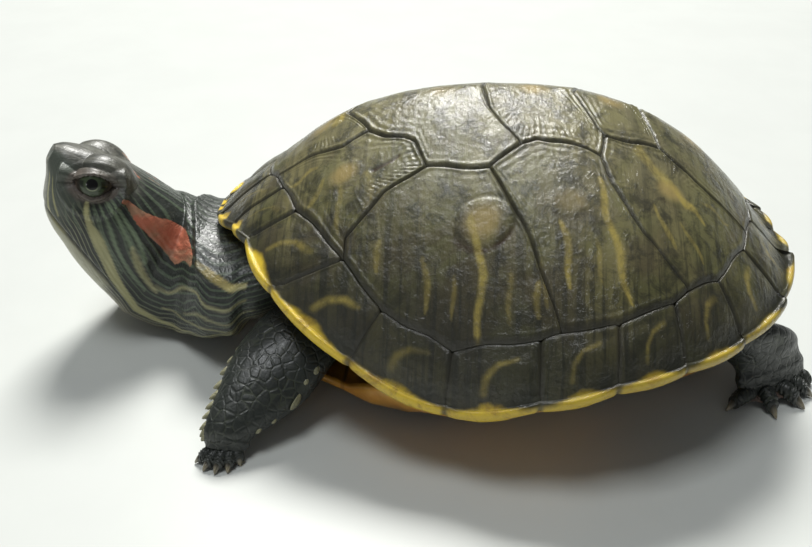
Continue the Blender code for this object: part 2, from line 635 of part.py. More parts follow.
def carve_limb_room(body, limbs_there):
    """Room in the body for the limbs that run into it."""
    for table, right_stride in limbs_there:
        for side, stride in ((1, 0.0), (-1, right_stride)):
            room = loft("limb_room", limb_sections(table, side, stride, ROOM), "skin")
            apply_boolean(body, "DIFFERENCE", room, solver="MANIFOLD")


def carve_trunk(body):
    """Room in the trunk for the neck, the limbs and the tail, which all run into it."""
    apply_boolean(body, "DIFFERENCE", loft("neck_room", neck_sections(ROOM), "skin", 16, NECK_BOXINESS))
    apply_boolean(body, "DIFFERENCE", loft("tail_room", tail_sections(ROOM), "skin", count=10))
    carve_limb_room(body, ((FORELIMB, RIGHT_FORE_STRIDE), (HINDLIMB, RIGHT_HIND_STRIDE)))


def stand_on_origin():
    """Move every object so that the bottom centre of the animal's box is the origin."""
    corners = np.vstack([np.array([v.co for v in o.data.vertices]) for o in bpy.data.objects])
    low, high = corners.min(axis=0), corners.max(axis=0)
    shift = -np.array([(low[0] + high[0]) / 2, (low[1] + high[1]) / 2, low[2]])
    for o in bpy.data.objects:
        o.location = shift


def build():
    for o in list(bpy.data.objects):
        bpy.data.objects.remove(o)
    dome_plates()
    edge_plates()
    plastron()
    carve_trunk(trunk())
    head_and_jaw()
    neck = loft("neck", neck_sections(), "skin", 16, NECK_BOXINESS)
    carve_limb_room(neck, ((FORELIMB, RIGHT_FORE_STRIDE),))
    limbs()
    loft("tail", tail_sections(), "skin", count=10)
    stand_on_origin()


build()
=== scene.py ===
"""Red-eared slider turtle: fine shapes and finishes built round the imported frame.

Shapes are written in shell units (the carapace is 99.2 units long, +X the animal's left,
-Y forward, +Z up, floor at z = 0) and are scaled and moved to the frame when a mesh is made.
"""

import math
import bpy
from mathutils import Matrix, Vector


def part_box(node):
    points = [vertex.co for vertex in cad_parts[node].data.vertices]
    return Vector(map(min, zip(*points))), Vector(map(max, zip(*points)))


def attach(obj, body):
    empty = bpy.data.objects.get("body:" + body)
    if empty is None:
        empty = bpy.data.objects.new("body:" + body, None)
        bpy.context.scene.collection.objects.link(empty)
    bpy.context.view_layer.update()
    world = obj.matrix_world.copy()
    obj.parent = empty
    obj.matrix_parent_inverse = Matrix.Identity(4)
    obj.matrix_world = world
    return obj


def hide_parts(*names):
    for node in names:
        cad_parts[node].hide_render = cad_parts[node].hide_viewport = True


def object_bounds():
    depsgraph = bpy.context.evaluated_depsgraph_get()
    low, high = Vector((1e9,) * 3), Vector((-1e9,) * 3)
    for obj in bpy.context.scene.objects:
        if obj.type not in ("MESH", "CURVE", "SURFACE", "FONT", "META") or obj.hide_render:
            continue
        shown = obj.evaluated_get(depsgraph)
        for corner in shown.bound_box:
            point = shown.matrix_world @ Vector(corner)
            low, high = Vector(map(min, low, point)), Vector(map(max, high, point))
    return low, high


bl_info = {
    "name": "Red-eared slider turtle",
    "version": (1, 0, 0),
    "blender": (4, 5, 0),
    "location": "3D View > Sidebar > Turtle",
    "description": "Builds the horny plates, skin, eyes and claws of a life-size slider turtle",
    "category": "Add Mesh",
}

import bmesh
import bpy
import numpy as np
from mathutils import Matrix, Vector

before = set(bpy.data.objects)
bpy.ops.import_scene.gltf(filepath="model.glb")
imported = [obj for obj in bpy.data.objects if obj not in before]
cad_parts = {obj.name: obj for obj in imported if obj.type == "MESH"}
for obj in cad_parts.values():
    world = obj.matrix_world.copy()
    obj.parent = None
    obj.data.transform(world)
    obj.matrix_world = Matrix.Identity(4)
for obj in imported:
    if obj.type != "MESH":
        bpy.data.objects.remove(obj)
CAD_BOX = [list(corner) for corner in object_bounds()]

# --- scale and place ---
UNIT = 0.085 / 99.2  # metres in one shell unit
TURN = 2 * math.pi
UP = np.array((0, 0, 1.0))
SIDES = ((1, "left"), (-1, "right"))
GAP = 0.0003 / UNIT  # between neighbouring solids of the frame
SEAM_INSET = 0.05 * GAP  # from a fine plate's edge to the middle of its seam
# How fine the surfaces are: points round and rings of a dome plate, sections and points of an
# edge plate and its lip, then columns and steps of the skin's tubes.
PLATE_AROUND, PLATE_RINGS = 216, 54
EDGE_ALONG, EDGE_ACROSS, LIP_RINGS, UNDER_RINGS = 76, 34, 9, 16
HEAD_COLUMNS, NECK_STEPS, LIMB_COLUMNS, LIMB_STEPS, TRUNK_COLUMNS = 192, 12, 64, 14, 72
CROWD = 1.7  # how strongly an edge plate's sections crowd to its seams
PLATE_SINK, EDGE_SINK = 0.12, 0.3  # how far the fine faces lie inside the frame's
PLATE = 2.2  # vertical thickness of a shell plate
RIM_THICKNESS = 1.7  # of the edge plates at the rim
SCALLOP, SERRATION = 0.55, 0.9  # how far an edge plate's middle and rear corner stand out
PLASTRON_LEVEL, PLASTRON_THICKNESS = 2.8, 1.7  # its lower face above the floor, and its thickness
HEAD_LENGTH = 25.8
HEAD_TURN, HEAD_LIFT, HEAD_ROLL = math.radians(26.6), math.radians(37.2), math.radians(3.4)
NOSE = np.array([4.66, -77.85, 33.17])
EYE_RADIUS = 3.1
EYE_PLACE = (-0.262, 0.195, 0.065)  # forward of the nose, aside and up, in head lengths
GAZE = (0.336, 0.926, 0.174)  # forward, aside, up: where an eye looks

# --- outline of the shell, as in the frame ---
# The rim where the edge plates' seams meet it, from the front round the left side to the tail.
RIM = np.array([
    (0.0, -50.8, 24.0), (3.6, -50.2, 24.4), (9.6, -46.2, 26.0), (15.6, -42.6, 26.9),
    (24.2, -37.2, 23.4), (33.5, -24.1, 17.3), (39.2, -9.5, 13.8), (41.0, 3.7, 17.0),
    (39.8, 14.3, 19.8), (36.4, 24.2, 21.2), (30.4, 33.8, 21.9), (20.5, 42.9, 23.0),
    (7.7, 48.1, 23.7), (0.0, 48.4, 23.5)])
# Height of the shell along its midline: y, z.
KEEL = np.array([
    (-50.8, 24.0), (-47.0, 27.2), (-39.2, 33.6), (-29.4, 41.2), (-19.6, 45.4), (-9.8, 47.4),
    (0.0, 47.9), (9.8, 47.4), (19.6, 45.0), (29.4, 40.2), (39.2, 32.0), (45.1, 25.6), (48.4, 23.5)])
BULGE, FALL = 1.776, 0.935  # powers of the dome's fall-off from keel to rim
RIDGE, RIDGE_WIDTH = 0.9, 7.0  # depth of the hollow beside the keel, and where it starts

# Where the seams between the plates meet, on the left half: plan points.
SEAMS = {
    "front": (0.0, -40.6), "nuchal": (3.2, -39.9), "v1c1": (5.4, -38.4), "m1": (9.0, -36.9),
    "m2": (14.8, -33.7), "m3": (24.0, -25.3), "m4": (30.0, -19.3), "m5": (34.5, -8.6),
    "m6": (35.5, 3.4), "c2c3": (35.0, 6.3), "m7": (34.1, 14.1), "m8": (30.3, 22.3),
    "c3c4": (28.5, 24.4), "m9": (25.2, 29.8), "m10": (17.2, 35.6), "c4v5": (13.5, 37.2),
    "m11": (8.6, 39.3), "tail": (0.0, 41.5),
    "v1a": (6.6, -32.5), "v1b": (8.0, -27.0), "v12": (6.8, -23.0), "v12k": (0.0, -26.8),
    "v2a": (8.6, -20.3), "v2b": (10.0, -17.0), "v2c": (10.8, -15.5), "v2c12": (14.8, -13.7),
    "v2d": (15.6, -9.3), "v2c23": (16.0, -4.0), "v23": (12.6, 0.4), "v3a": (9.3, -2.0),
    "v3b": (5.7, -4.1), "v23k": (0.0, -5.2), "v3c": (11.6, 3.0), "v3d": (12.0, 6.4),
    "v3e": (12.8, 10.9), "v3c34": (13.4, 12.5), "v34": (9.6, 13.4), "v4a": (8.6, 12.4),
    "v34k": (0.0, 9.4), "v4b": (9.6, 17.6), "v45": (8.2, 22.3), "v45k": (0.0, 20.8),
    "v5a": (11.5, 28.2), "c12a": (17.4, -19.6), "c12b": (21.8, -25.2), "c23a": (24.9, 1.3),
    "c23b": (32.6, 5.2), "c34a": (17.6, 13.9), "c34b": (23.9, 18.2)}
# Each plate of the dome: its seam points, then where it first grew from.
VERTEBRALS = {
    "vertebral_1": ("front nuchal v1c1 v1a v1b v12 v12k", (0, -31.0)),
    "vertebral_2": ("v12k v12 v2a v2b v2c v2c12 v2d v2c23 v23 v3a v3b v23k", (0, -11.5)),
    "vertebral_3": ("v23k v3b v3a v23 v3c v3d v3e v3c34 v34 v4a v34k", (0, 3.2)),
    "vertebral_4": ("v34k v4a v34 v4b v45 v45k", (0, 15.8)),
    "vertebral_5": ("v45k v45 v5a c4v5 m11 tail", (0, 30.0))}
COSTALS = {
    "costal_1": ("v1c1 m1 m2 m3 c12b c12a v2c12 v2c v2b v2a v12 v1b v1a", (13.0, -26.5)),
    "costal_2": ("m3 m4 m5 m6 c2c3 c23b c23a v2c23 v2d v2c12 c12a c12b", (23.0, -6.6)),
    "costal_3": ("c2c3 m7 m8 c3c4 c34b c34a v3c34 v3e v3d v3c v23 v2c23 c23a c23b", (21.0, 7.4)),
    "costal_4": ("c3c4 m9 m10 c4v5 v5a v45 v4b v34 v3c34 c34a c34b", (16.0, 23.0))}
# Seam points along the inner edge of each edge plate, from the nuchal plate to the tail.
EDGE_PLATES = [
    "front nuchal", "nuchal v1c1 m1", "m1 m2", "m2 m3", "m3 m4", "m4 m5", "m5 m6",
    "m6 c2c3 m7", "m7 m8", "m8 c3c4 m9", "m9 m10", "m10 c4v5 m11", "m11 tail"]
# Yellow streaks on the plates of the flank: plan points of each, and its half width and strength.
STREAKS = [
    ([(22.8, -6.9), (25.0, -5.6), (28.2, -5.1), (31.5, -5.0), (35.0, -5.3)], 0.42, 0.95),
    ([(26.3, -13.4), (28.6, -13.0), (31.0, -12.7)], 0.34, 0.6),
    ([(28.1, -9.2), (32.0, -8.7)], 0.26, 0.35),
    ([(28.6, -1.2), (33.4, -0.6)], 0.28, 0.35),
    ([(30.0, 2.8), (33.2, 3.3)], 0.36, 0.55),
    ([(23.0, -19.9), (26.2, -20.2)], 0.34, 0.45),
    ([(17.8, 11.8), (20.0, 12.4), (23.1, 13.1), (27.4, 14.4), (32.2, 15.9)], 0.42, 0.9),
    ([(23.5, 6.2), (26.0, 6.7), (30.8, 7.6)], 0.36, 0.75),
    ([(25.7, 10.8), (30.5, 12.1)], 0.22, 0.35),
    ([(28.0, 3.2), (33.0, 4.6)], 0.24, 0.3),
    ([(10.6, 18.9), (14.0, 21.7), (16.2, 24.6)], 0.8, 0.5),
    ([(15.4, 23.4), (16.9, 25.6), (18.2, 28.4)], 0.42, 0.75),
    ([(19.5, 20.5), (24.4, 22.6)], 0.3, 0.5),
    ([(20.5, 24.6), (24.6, 27.0)], 0.26, 0.4),
    ([(14.6, 28.5), (15.4, 32.8)], 0.26, 0.4),
    ([(13.5, -23.0), (18.0, -21.6)], 0.3, 0.3),
    ([(14.5, -27.0), (20.5, -26.4)], 0.3, 0.35),
    ([(12.5, -29.5), (16.0, -32.0)], 0.32, 0.4),
    ([(9.5, -31.0), (10.5, -35.4)], 0.3, 0.4),
    ([(0.6, -27.9), (2.6, -28.6)], 0.7, 0.8)]

AREOLA, BOSS_SHAPE = 4.6, 0.66  # long radius of the smooth boss that a plate grew from, its width
BOSS_SHIFT = 1.7  # how far back the second costal's boss lies from its growth point
# An old crack, on the left side only.
CRACK = [(12.6, -17.8), (13.2, -18.9), (13.5, -20.1), (13.9, -21.7)]
# Knobs of the keel: place along it and height.
KNOBS = {"vertebral_2": (-6.9, 0.3), "vertebral_3": (8.0, 0.42), "vertebral_4": (19.4, 0.5)}
# The curved bar of an edge plate: shares along it and across it, and how strong it is on each.
BAR_LINE = np.array([(0.40, 0.72), (0.42, 0.50), (0.54, 0.33), (0.74, 0.27)])
BAR_STRETCH = (1.25, 1.0)
BAR_STRENGTH = (0.0, 0.3, 0.35, 0.75, 1.0, 0.45, 1.0, 0.7, 0.8, 0.6, 0.7, 0.5, 0.4)

# Half width of the plastron's flat part from its front edge to the notch behind: x, y.
PLASTRON_EDGE = np.array([
    (6.0, -42.4), (12.5, -40.6), (17.5, -36.6), (21.0, -31.0), (24.0, -25.5), (27.0, -21.0),
    (28.6, -15.0), (27.4, -4.0), (25.0, 6.0), (22.6, 14.0), (20.4, 20.0), (18.8, 26.0),
    (16.6, 32.0), (13.0, 38.5), (6.4, 42.6)])
BRIDGE = (-25.0, -17.0, 12.0, 20.0)  # where the bridge starts, is full, and ends
BRIDGE_TUCK = 3.3  # how far inside the rim it meets the edge plates
BRIDGE_ROOM = 1.6 * GAP  # between the bridge and the edge plates over it
BRIDGE_STRAIGHT = 0.75  # share of its rise that is straight, not curved
TAIL_NOTCH = 2.6  # depth of the plastron's notch under the tail
PLASTRON_TURN = 0.8  # how far its lower face turns up aside
# Its cross seams: where they meet the midline, and how far they bow back aside.
PLASTRON_SEAMS = ((-34.5, 2.5), (-24.5, -2.0), (-9.5, 1.5), (8.5, 1.5), (24.5, -2.0))
# Trunk: half width and half length of its outline, and how square that is; how far it is
# spread where the dome's height is read; its space under the plates and how its edge rounds
# down; then the floor's width and length against the outline's, and its space over the plastron.
TRUNK_HALF, TRUNK_SQUARENESS = (31.0, 36.5), 0.85
TRUNK_SPREAD, TRUNK_CLEARANCE, TRUNK_SHOULDER = 1.07, 0.9, 1.2
FLOOR_NARROWING, FLOOR_CLEARANCE = (0.86, 0.97), 1.5

# --- flesh, as in the frame ---
# Head sections: distance back from the nose, top, bottom, half width, in head lengths.
HEAD_SECTIONS = np.array([
    (-0.020, 0.145, 0.020, 0.055), (0.025, 0.175, -0.080, 0.115), (0.065, 0.190, -0.200, 0.160),
    (0.120, 0.205, -0.300, 0.195), (0.200, 0.225, -0.380, 0.235), (0.300, 0.235, -0.450, 0.270),
    (0.420, 0.235, -0.535, 0.315), (0.560, 0.220, -0.615, 0.350), (0.720, 0.200, -0.685, 0.385),
    (0.880, 0.175, -0.745, 0.415)])
HEAD_BOXINESS = 0.82
BROW_PLACE, BROW_SIZE = (-0.330, 0.150, 0.125), (0.180, 0.130, 0.145)
MOUTH_FRONT, MOUTH_BACK = np.array((-0.02, -0.215)), np.array((-0.62, -0.510))
NECK = [  # centre, side half-axis, up half-axis
    ((-1.0, -60.5, 12.3), (11.4, 3.6, 0.4), (-1.8, 3.0, 10.8)),
    ((1.0, -55.0, 11.5), (14.2, 1.8, 0.2), (-0.8, 1.4, 10.4)),
    ((1.0, -50.0, 11.7), (16.6, 0.6, 0.0), (-0.2, 0.6, 9.5)),
    ((0.6, -46.2, 12.2), (17.4, 0.2, 0.0), (0.0, 0.2, 9.1)),
    ((0.2, -42.6, 14.4), (17.0, 0.0, 0.0), (0.0, 0.0, 7.5)),
    ((0.0, -33.0, 15.4), (14.0, 0.0, 0.0), (0.0, 0.0, 7.0))]
FORELIMB = [  # centre, half width towards the leading edge, half thickness
    ((12.5, -27.0, 13.6), (-2.4, -5.2, 0.4), 4.4),
    ((21.4, -33.4, 11.7), (-3.4, -6.8, 0.6), 4.0),
    ((28.8, -37.5, 8.5), (-2.0, -6.2, 2.2), 3.4),
    ((33.3, -40.2, 6.2), (-0.7, -4.9, 1.6), 2.7),
    ((36.4, -42.3, 4.2), (0.3, -3.7, 0.9), 2.0)]
# Tips of the toes on the floor, from the first to the fifth.
FORE_TOES = [(39.2, -47.4), (40.8, -45.7), (41.3, -43.8), (40.9, -41.9), (39.4, -40.2)]
HINDLIMB = [
    ((11.0, 27.0, 13.0), (2.0, -5.0, 0.0), 4.8),
    ((14.8, 34.5, 12.2), (2.6, -5.2, 0.2), 4.5),
    ((15.4, 40.0, 11.4), (2.9, -7.0, -0.6), 4.4),
    ((14.3, 44.4, 9.0), (2.9, -6.8, -0.8), 3.7),
    ((14.6, 46.4, 6.5), (3.2, -6.0, -0.6), 2.9)]
HIND_TOES = [(22.0, 38.8), (23.4, 46.8), (20.6, 52.6), (17.4, 55.2), (13.6, 56.4)]
TAIL_PATH = [(0, 31, 10.5), (-1.0, 39, 10), (-3.2, 45, 8.6), (-5.8, 50, 6.6), (-7.4, 54, 4.8)]
TAIL_TAPER, TAIL_TIP = 3.6, 0.4  # how much its radius shrinks, and what is left at the tip
SLIT_TILT = math.radians(22.5)  # how far the eye's slit points down in front
LID_LONG, LID_UP, LID_DOWN = 2.95, 1.35, 2.15  # half-axes of the opening between the lids
FOLD_LONG, FOLD_UP, FOLD_DOWN = 4.5, 2.9, 3.5  # half-axes of the groove round the lids
HALF_GIRTH = 24.0  # from the top of the head round to its underside
# The loose fold of the neck: where it starts at the top, its slant, and how far down it goes.
COLLAR = (1.15, 0.55, 0.34)
# Stripes of the skin, each on the unrolled skin: distance back in head lengths and share of the
# way round from the top to the underside, then half widths in shell units, and strength.
CREAM_LINES = [
    ([(0.265, 0.485), (0.31, 0.525), (0.36, 0.55), (0.44, 0.572), (0.54, 0.612), (0.65, 0.662),
      (0.81, 0.715), (0.95, 0.735), (1.1, 0.735), (1.35, 0.68), (1.7, 0.62)],
     (0.3, 0.42, 0.6, 0.92, 0.9, 0.8, 0.7, 0.55, 0.35, 0.25, 0.2), 1.0),
    ([(0.04, 0.62), (0.09, 0.65), (0.16, 0.68)], (0.2, 0.34, 0.2), 0.8),
    ([(0.02, 0.72), (0.07, 0.775), (0.16, 0.775), (0.25, 0.75)], (0.3, 0.6, 0.6, 0.3), 0.85),
    ([(0.62, 0.49), (0.72, 0.522), (0.84, 0.555), (0.93, 0.57)], (0.15, 0.42, 0.34, 0.12), 0.8),
    ([(0.89, 0.548), (1.01, 0.538), (1.2, 0.45), (1.36, 0.404), (1.47, 0.44), (1.8, 0.46)],
     (0.10, 0.16, 0.18, 0.2, 0.24, 0.2), 0.7),
    ([(1.34, 0.262), (1.46, 0.27), (1.58, 0.298), (1.68, 0.34), (1.8, 0.368)],
     (0.4, 0.55, 0.6, 0.5, 0.4), 1.0),
    ([(1.2, 0.56), (1.4, 0.50), (1.6, 0.53), (1.85, 0.54)], (0.1, 0.16, 0.18, 0.15), 0.6),
    ([(1.0, 0.64), (1.4, 0.57), (1.6, 0.60), (1.85, 0.61)], (0.12, 0.2, 0.2, 0.15), 0.7),
    ([(1.1, 0.78), (1.4, 0.72), (1.8, 0.70)], (0.3, 0.5, 0.4), 0.6)]
THIN_LINES = [
    ([(0.35, 0.40), (0.43, 0.425), (0.52, 0.46), (0.63, 0.492)], (0.14, 0.24, 0.24, 0.2), 1.0),
    ([(0.38, 0.37), (0.5, 0.42), (0.63, 0.455), (0.75, 0.50)], (0.12, 0.2, 0.24, 0.2), 1.0),
    ([(0.33, 0.44), (0.42, 0.48), (0.55, 0.525), (0.7, 0.57), (0.85, 0.60)],
     (0.1, 0.2, 0.2, 0.2, 0.15), 0.9),
    ([(0.30, 0.47), (0.40, 0.515), (0.52, 0.555), (0.66, 0.60)], (0.1, 0.14, 0.16, 0.1), 0.7),
    ([(0.20, 0.52), (0.24, 0.58), (0.32, 0.61)], (0.1, 0.18, 0.1), 0.7),
    ([(0.16, 0.56), (0.20, 0.62), (0.26, 0.65)], (0.1, 0.16, 0.1), 0.6)]
RED_PATCH = [
    ([(0.475, 0.335), (0.58, 0.358), (0.70, 0.352), (0.82, 0.335), (0.95, 0.335), (1.10, 0.285),
      (1.22, 0.28)],
     (0.45, 0.95, 1.35, 2.0, 2.4, 1.8, 1.2), 1.0),
    ([(0.41, 0.085), (0.46, 0.092), (0.52, 0.10)], (0.15, 0.42, 0.2), 0.75),
    ([(0.60, 0.028), (0.68, 0.030)], (0.2, 0.3), 0.5)]
# How far the fine lines of the head sink on their way back.
LINE_DROP = np.array([(-0.05, -0.06), (0.26, 0.0), (0.44, 0.08), (0.65, 0.14), (0.85, 0.18), (1.0, 0.17),
                      (1.36, 0.04), (1.5, 0.07), (1.8, 0.06), (3.0, 0.05)])
# Camera: where it stands, in shell units, then how it turns round the vertical, how far it is
# raised from looking straight down, and how it rolls.
CAMERA_PLACE = (120.05, -12.57, 89.80)
CAMERA_TURN, CAMERA_TILT, CAMERA_ROLL = math.radians(92.02), math.radians(56.74), math.radians(1.27)
# Limbs: table, toes, radius of a toe, share of the way to the toes' tips that is palm, and how far
# back the right one stands.
FEET = (("fore", FORELIMB, FORE_TOES, 1.15, 0.45, 3.0), ("hind", HINDLIMB, HIND_TOES, 1.6, 0.5, -3.5))
WEB_REACH = {"fore": 0.45, "hind": 0.62}  # share of the toes that the web joins
# Scales of a fore limb: share of the way down it, angle round it, how far out it starts, half
# width, height and lean. First the row on the leading edge, then those by the elbow.
LEADING = [(share, 0.55 + 0.45 * math.sin(math.pi * (share - 0.1) / 0.6))
           for share in np.linspace(0.15, 0.63, 12)]
LIMB_SCALES = [(share, 0.0, 0.92, 1.25 * size, 0.85 * size, size) for share, size in LEADING] + [
    (share, angle, 0.93, wide, 0.55, 0.25) for share, angle, wide in (
        (0.31, -2.8, 1.7), (0.21, -2.75, 1.15), (0.52, -2.75, 0.8), (0.25, -2.6, 0.7), (0.43, -2.85, 0.7))]
# Lamps, in metres: place, size, share of the key light's power, and tone.
LAMPS = (("key", (-0.70, -0.04, 0.98), 0.36, 1.0, (1.0, 0.99, 0.96)),
         ("top", (0.10, -0.22, 1.26), 0.40, 0.32, (0.95, 0.98, 1.0)),
         ("side", (1.1, -0.60, 0.42), 0.16, 0.03, (1.0, 1.0, 1.0)))
LIT_PLACE = (0, 0, 0.015)


# --- curves and heights ---
def smooth_path(points, per=8):
    """Catmull-Rom curve through the points, with the end points mirrored outward."""
    p = np.asarray(points, float)
    p = np.vstack([2 * p[0] - p[1], p, 2 * p[-1] - p[-2]])
    t = np.linspace(0, 1, per, endpoint=False)[:, None]
    runs = [0.5 * (2 * b + (c - a) * t + (2 * a - 5 * b + 4 * c - d) * t**2
                   + (3 * b - a - 3 * c + d) * t**3)
            for a, b, c, d in zip(p[:-3], p[1:-2], p[2:-1], p[3:])]
    return np.vstack(runs + [p[-2][None]])


RIM_CURVE = smooth_path(RIM)
KEEL_CURVE = smooth_path(KEEL)


def stack(*parts):
    """Arrays side by side along a new last axis."""
    return np.stack(np.broadcast_arrays(*parts), -1)


def stand(plan, height):
    """Plan points stood at a height."""
    return np.concatenate([plan, height[..., None]], -1)


def bell(value, width, power=2):
    """1 where the value is 0, falling off on both sides over the width."""
    return np.exp(-(value / width)**power)


def circle(count):
    """Evenly spaced angles round a full turn."""
    return np.arange(count) * TURN / count


def length(vector):
    """Root of the sum of the squares."""
    return np.linalg.norm(vector, axis=-1)


def unit(vector):
    """The vector over its length."""
    vector = np.asarray(vector, float)
    return vector / np.maximum(length(vector), 1e-9)[..., None]


def ease(value, low, high):
    """0 below low, 1 above high, an S-curve between."""
    t = np.clip((value - low) / (high - low), 0, 1)
    return t * t * (3 - 2 * t)


def half_width(y):
    """Half the carapace's width at y, read off the rim's curve."""
    return np.interp(y, RIM_CURVE[:, 1], RIM_CURVE[:, 0])


def rim_height(y):
    """Height of the rim's upper edge at y, read off its curve."""
    return np.interp(y, RIM_CURVE[:, 1], RIM_CURVE[:, 2])


def dome(plan):
    """Height of the carapace: the rim's height plus the keel's rise times a rounded fall-off
    with the distance aside, less a slight hollow beside the keel."""
    x, y = plan[..., 0], plan[..., 1]
    aside = np.clip(np.abs(x) / np.maximum(half_width(y), 0.5), 0, 1)
    low = rim_height(y)
    rise = np.maximum(np.interp(y, KEEL_CURVE[:, 0], KEEL_CURVE[:, 1]), low) - low
    hollow = RIDGE * np.clip(rise / 15, 0, 1) * (1 - bell(x, RIDGE_WIDTH)) * (1 - aside)
    return low + rise * (1 - aside**BULGE)**FALL - hollow


def plastron_widths(y):
    """Half widths of the plastron's flat and of its whole, and how much of a bridge is there."""
    flat = np.interp(y, PLASTRON_EDGE[:, 1], PLASTRON_EDGE[:, 0])
    bridge = np.interp(y, BRIDGE, (0.0, 1.0, 1.0, 0.0))
    turned = flat + PLASTRON_TURN
    return flat, turned + bridge * (half_width(y) - BRIDGE_TUCK - turned), bridge


def plastron_height(plan):
    """Lower face of the plastron: flat, turned up in front, rising aside to the bridge."""
    x, y = plan[..., 0], plan[..., 1]
    front = np.clip((-32.0 - y) / 10.0, 0, 1)**2
    flat, reach, bridge = plastron_widths(y)
    aside = np.clip((np.abs(x) - flat) / (reach - flat), 0, 1)
    top = rim_height(y) - RIM_THICKNESS - PLASTRON_THICKNESS - BRIDGE_ROOM - PLASTRON_LEVEL
    rise = PLASTRON_TURN + bridge * (top - PLASTRON_TURN)
    straight = BRIDGE_STRAIGHT * bridge
    curve = (1 - np.sqrt(1 - 0.96 * aside**2)) / 0.8
    return PLASTRON_LEVEL + front + rise * (straight * aside + (1 - straight) * curve)


def ripple(points, scale, seed):
    """Gentle unevenness between -1 and 1: the sum of four sine waves in seeded directions."""
    rng = np.random.default_rng(seed)
    total = np.zeros(points.shape[:-1])
    for k in range(4):
        way = unit(rng.normal(size=3)) * scale * (0.7 + 0.35 * k)
        total += np.sin(points @ way + rng.uniform(0, 6.3)) / (1 + 0.4 * k)
    return total / 2.8


def line_distance(places, line):
    """Distance from each place to a line of points, and the share of the line nearest to it."""
    best, share = np.full(places.shape[:-1], 1e9), np.zeros(places.shape[:-1])
    line = np.asarray(line, float)
    for k, (a, b) in enumerate(zip(line[:-1], line[1:])):
        t = np.clip(((places - a) @ (b - a)) / ((b - a) @ (b - a)), 0, 1)
        far = length(places - a - t[..., None] * (b - a))
        share = np.where(far < best, (k + t) / (len(line) - 1), share)
        best = np.minimum(best, far)
    return best, share


def crowded(count, power=1.0):
    """Shares from 0 to 1; a power above 1 crowds them to both ends."""
    t = np.linspace(0, 1, count)
    return np.where(t < 0.5, 0.5 * (2 * t)**power, 1 - 0.5 * (2 - 2 * t)**power)


def resample(line, count, power=1.0):
    """Points along a line of points, at crowded shares of its length."""
    line = np.asarray(line, float)
    reach = np.concatenate([[0], np.cumsum(length(np.diff(line, axis=0)))])
    t = crowded(count, power) * reach[-1]
    return np.stack([np.interp(t, reach, column) for column in line.T], -1)


# --- meshes ---
def head_axes():
    """Unit vectors of the head: forward, to its left, and up."""
    turn, lift, roll = HEAD_TURN, HEAD_LIFT, HEAD_ROLL
    forward = np.array([math.sin(turn) * math.cos(lift), -math.cos(turn) * math.cos(lift),
                        math.sin(lift)])
    left = np.array([math.cos(turn), math.sin(turn), 0.0])
    up = np.cross(forward, left)
    return np.array([forward, left * math.cos(roll) + up * math.sin(roll),
                     up * math.cos(roll) - left * math.sin(roll)])


AXES = head_axes()


def head_point(forward, left, up):
    """World place of a point given in head lengths from the nose."""
    return NOSE + HEAD_LENGTH * (np.array((forward, left, up)) @ AXES)


def eye_centre(side):
    """World place of an eye's middle."""
    return head_point(EYE_PLACE[0], side * EYE_PLACE[1], EYE_PLACE[2])


def frame_shift():
    """Metres from the shell units' origin to the frame's: aside from the third vertebral plate,
    along from the middle of the left eye."""
    plate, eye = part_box("vertebral_3"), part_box("eye_left")
    return np.array([(plate[0][0] + plate[1][0]) / 2,
                     (eye[0][1] + eye[1][1]) / 2 - eye_centre(1)[1] * UNIT, 0.0])


SHIFT = frame_shift()


class Tube:
    """A closed surface: a grid of rings, shut at both ends by a pole, with values per point."""

    def __init__(self, grid, **values):
        rows, columns = grid.shape[:2]
        self.points = np.vstack([grid.reshape(-1, 3), grid[0].mean(0), grid[-1].mean(0)])
        self.values = {}
        for name, value in values.items():
            value = np.broadcast_to(value, grid.shape[:2]).astype(float)
            self.values[name] = np.concatenate([value.ravel(), [value[0].mean(), value[-1].mean()]])
        k = np.arange(columns)
        after, last, pole = (k + 1) % columns, (rows - 1) * columns, rows * columns
        first = np.arange(rows - 1)[:, None] * columns
        self.quads = stack(first + k, first + after, first + after + columns,
                           first + k + columns).reshape(-1, 4)
        self.triangles = np.vstack([stack(after, k, pole), stack(last + k, last + after, pole + 1)])


def rings(centres, first, second, count):
    """Rings of points, one for each centre: first times the cosine plus second times the sine."""
    angle = circle(count)[:, None]
    return centres[:, None] + first[:, None] * np.cos(angle) + second[:, None] * np.sin(angle)


def make_piece(name, tubes, finish, replaced=()):
    """One object from closed tubes, turned outward, kept inside the frame's box, riding on the root."""
    points = np.clip(np.vstack([t.points for t in tubes]) * UNIT + SHIFT, *CAD_BOX)
    starts = np.cumsum([0] + [len(t.points) for t in tubes])
    quads = np.vstack([t.quads + start for t, start in zip(tubes, starts)])
    triangles = np.vstack([t.triangles + start for t, start in zip(tubes, starts)])
    mesh = bpy.data.meshes.new(name)
    mesh.from_pydata(points, [], quads.tolist() + triangles.tolist())
    mesh.validate()
    work = bmesh.new()
    work.from_mesh(mesh)
    bmesh.ops.recalc_face_normals(work, faces=work.faces)
    work.to_mesh(mesh)
    work.free()
    for n in sorted({n for t in tubes for n in t.values}):
        value = np.concatenate([t.values.get(n, np.zeros(len(t.points))) for t in tubes])
        mesh.attributes.new(n, "FLOAT", "POINT").data.foreach_set("value", value.astype(np.float32))
    mesh.polygons.foreach_set("use_smooth", np.ones(len(mesh.polygons), bool))
    mesh.materials.append(finish)
    made = bpy.data.objects.new(name, mesh)
    bpy.context.collection.objects.link(made)
    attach(made, "root")
    if replaced:
        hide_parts(*replaced)
    return made


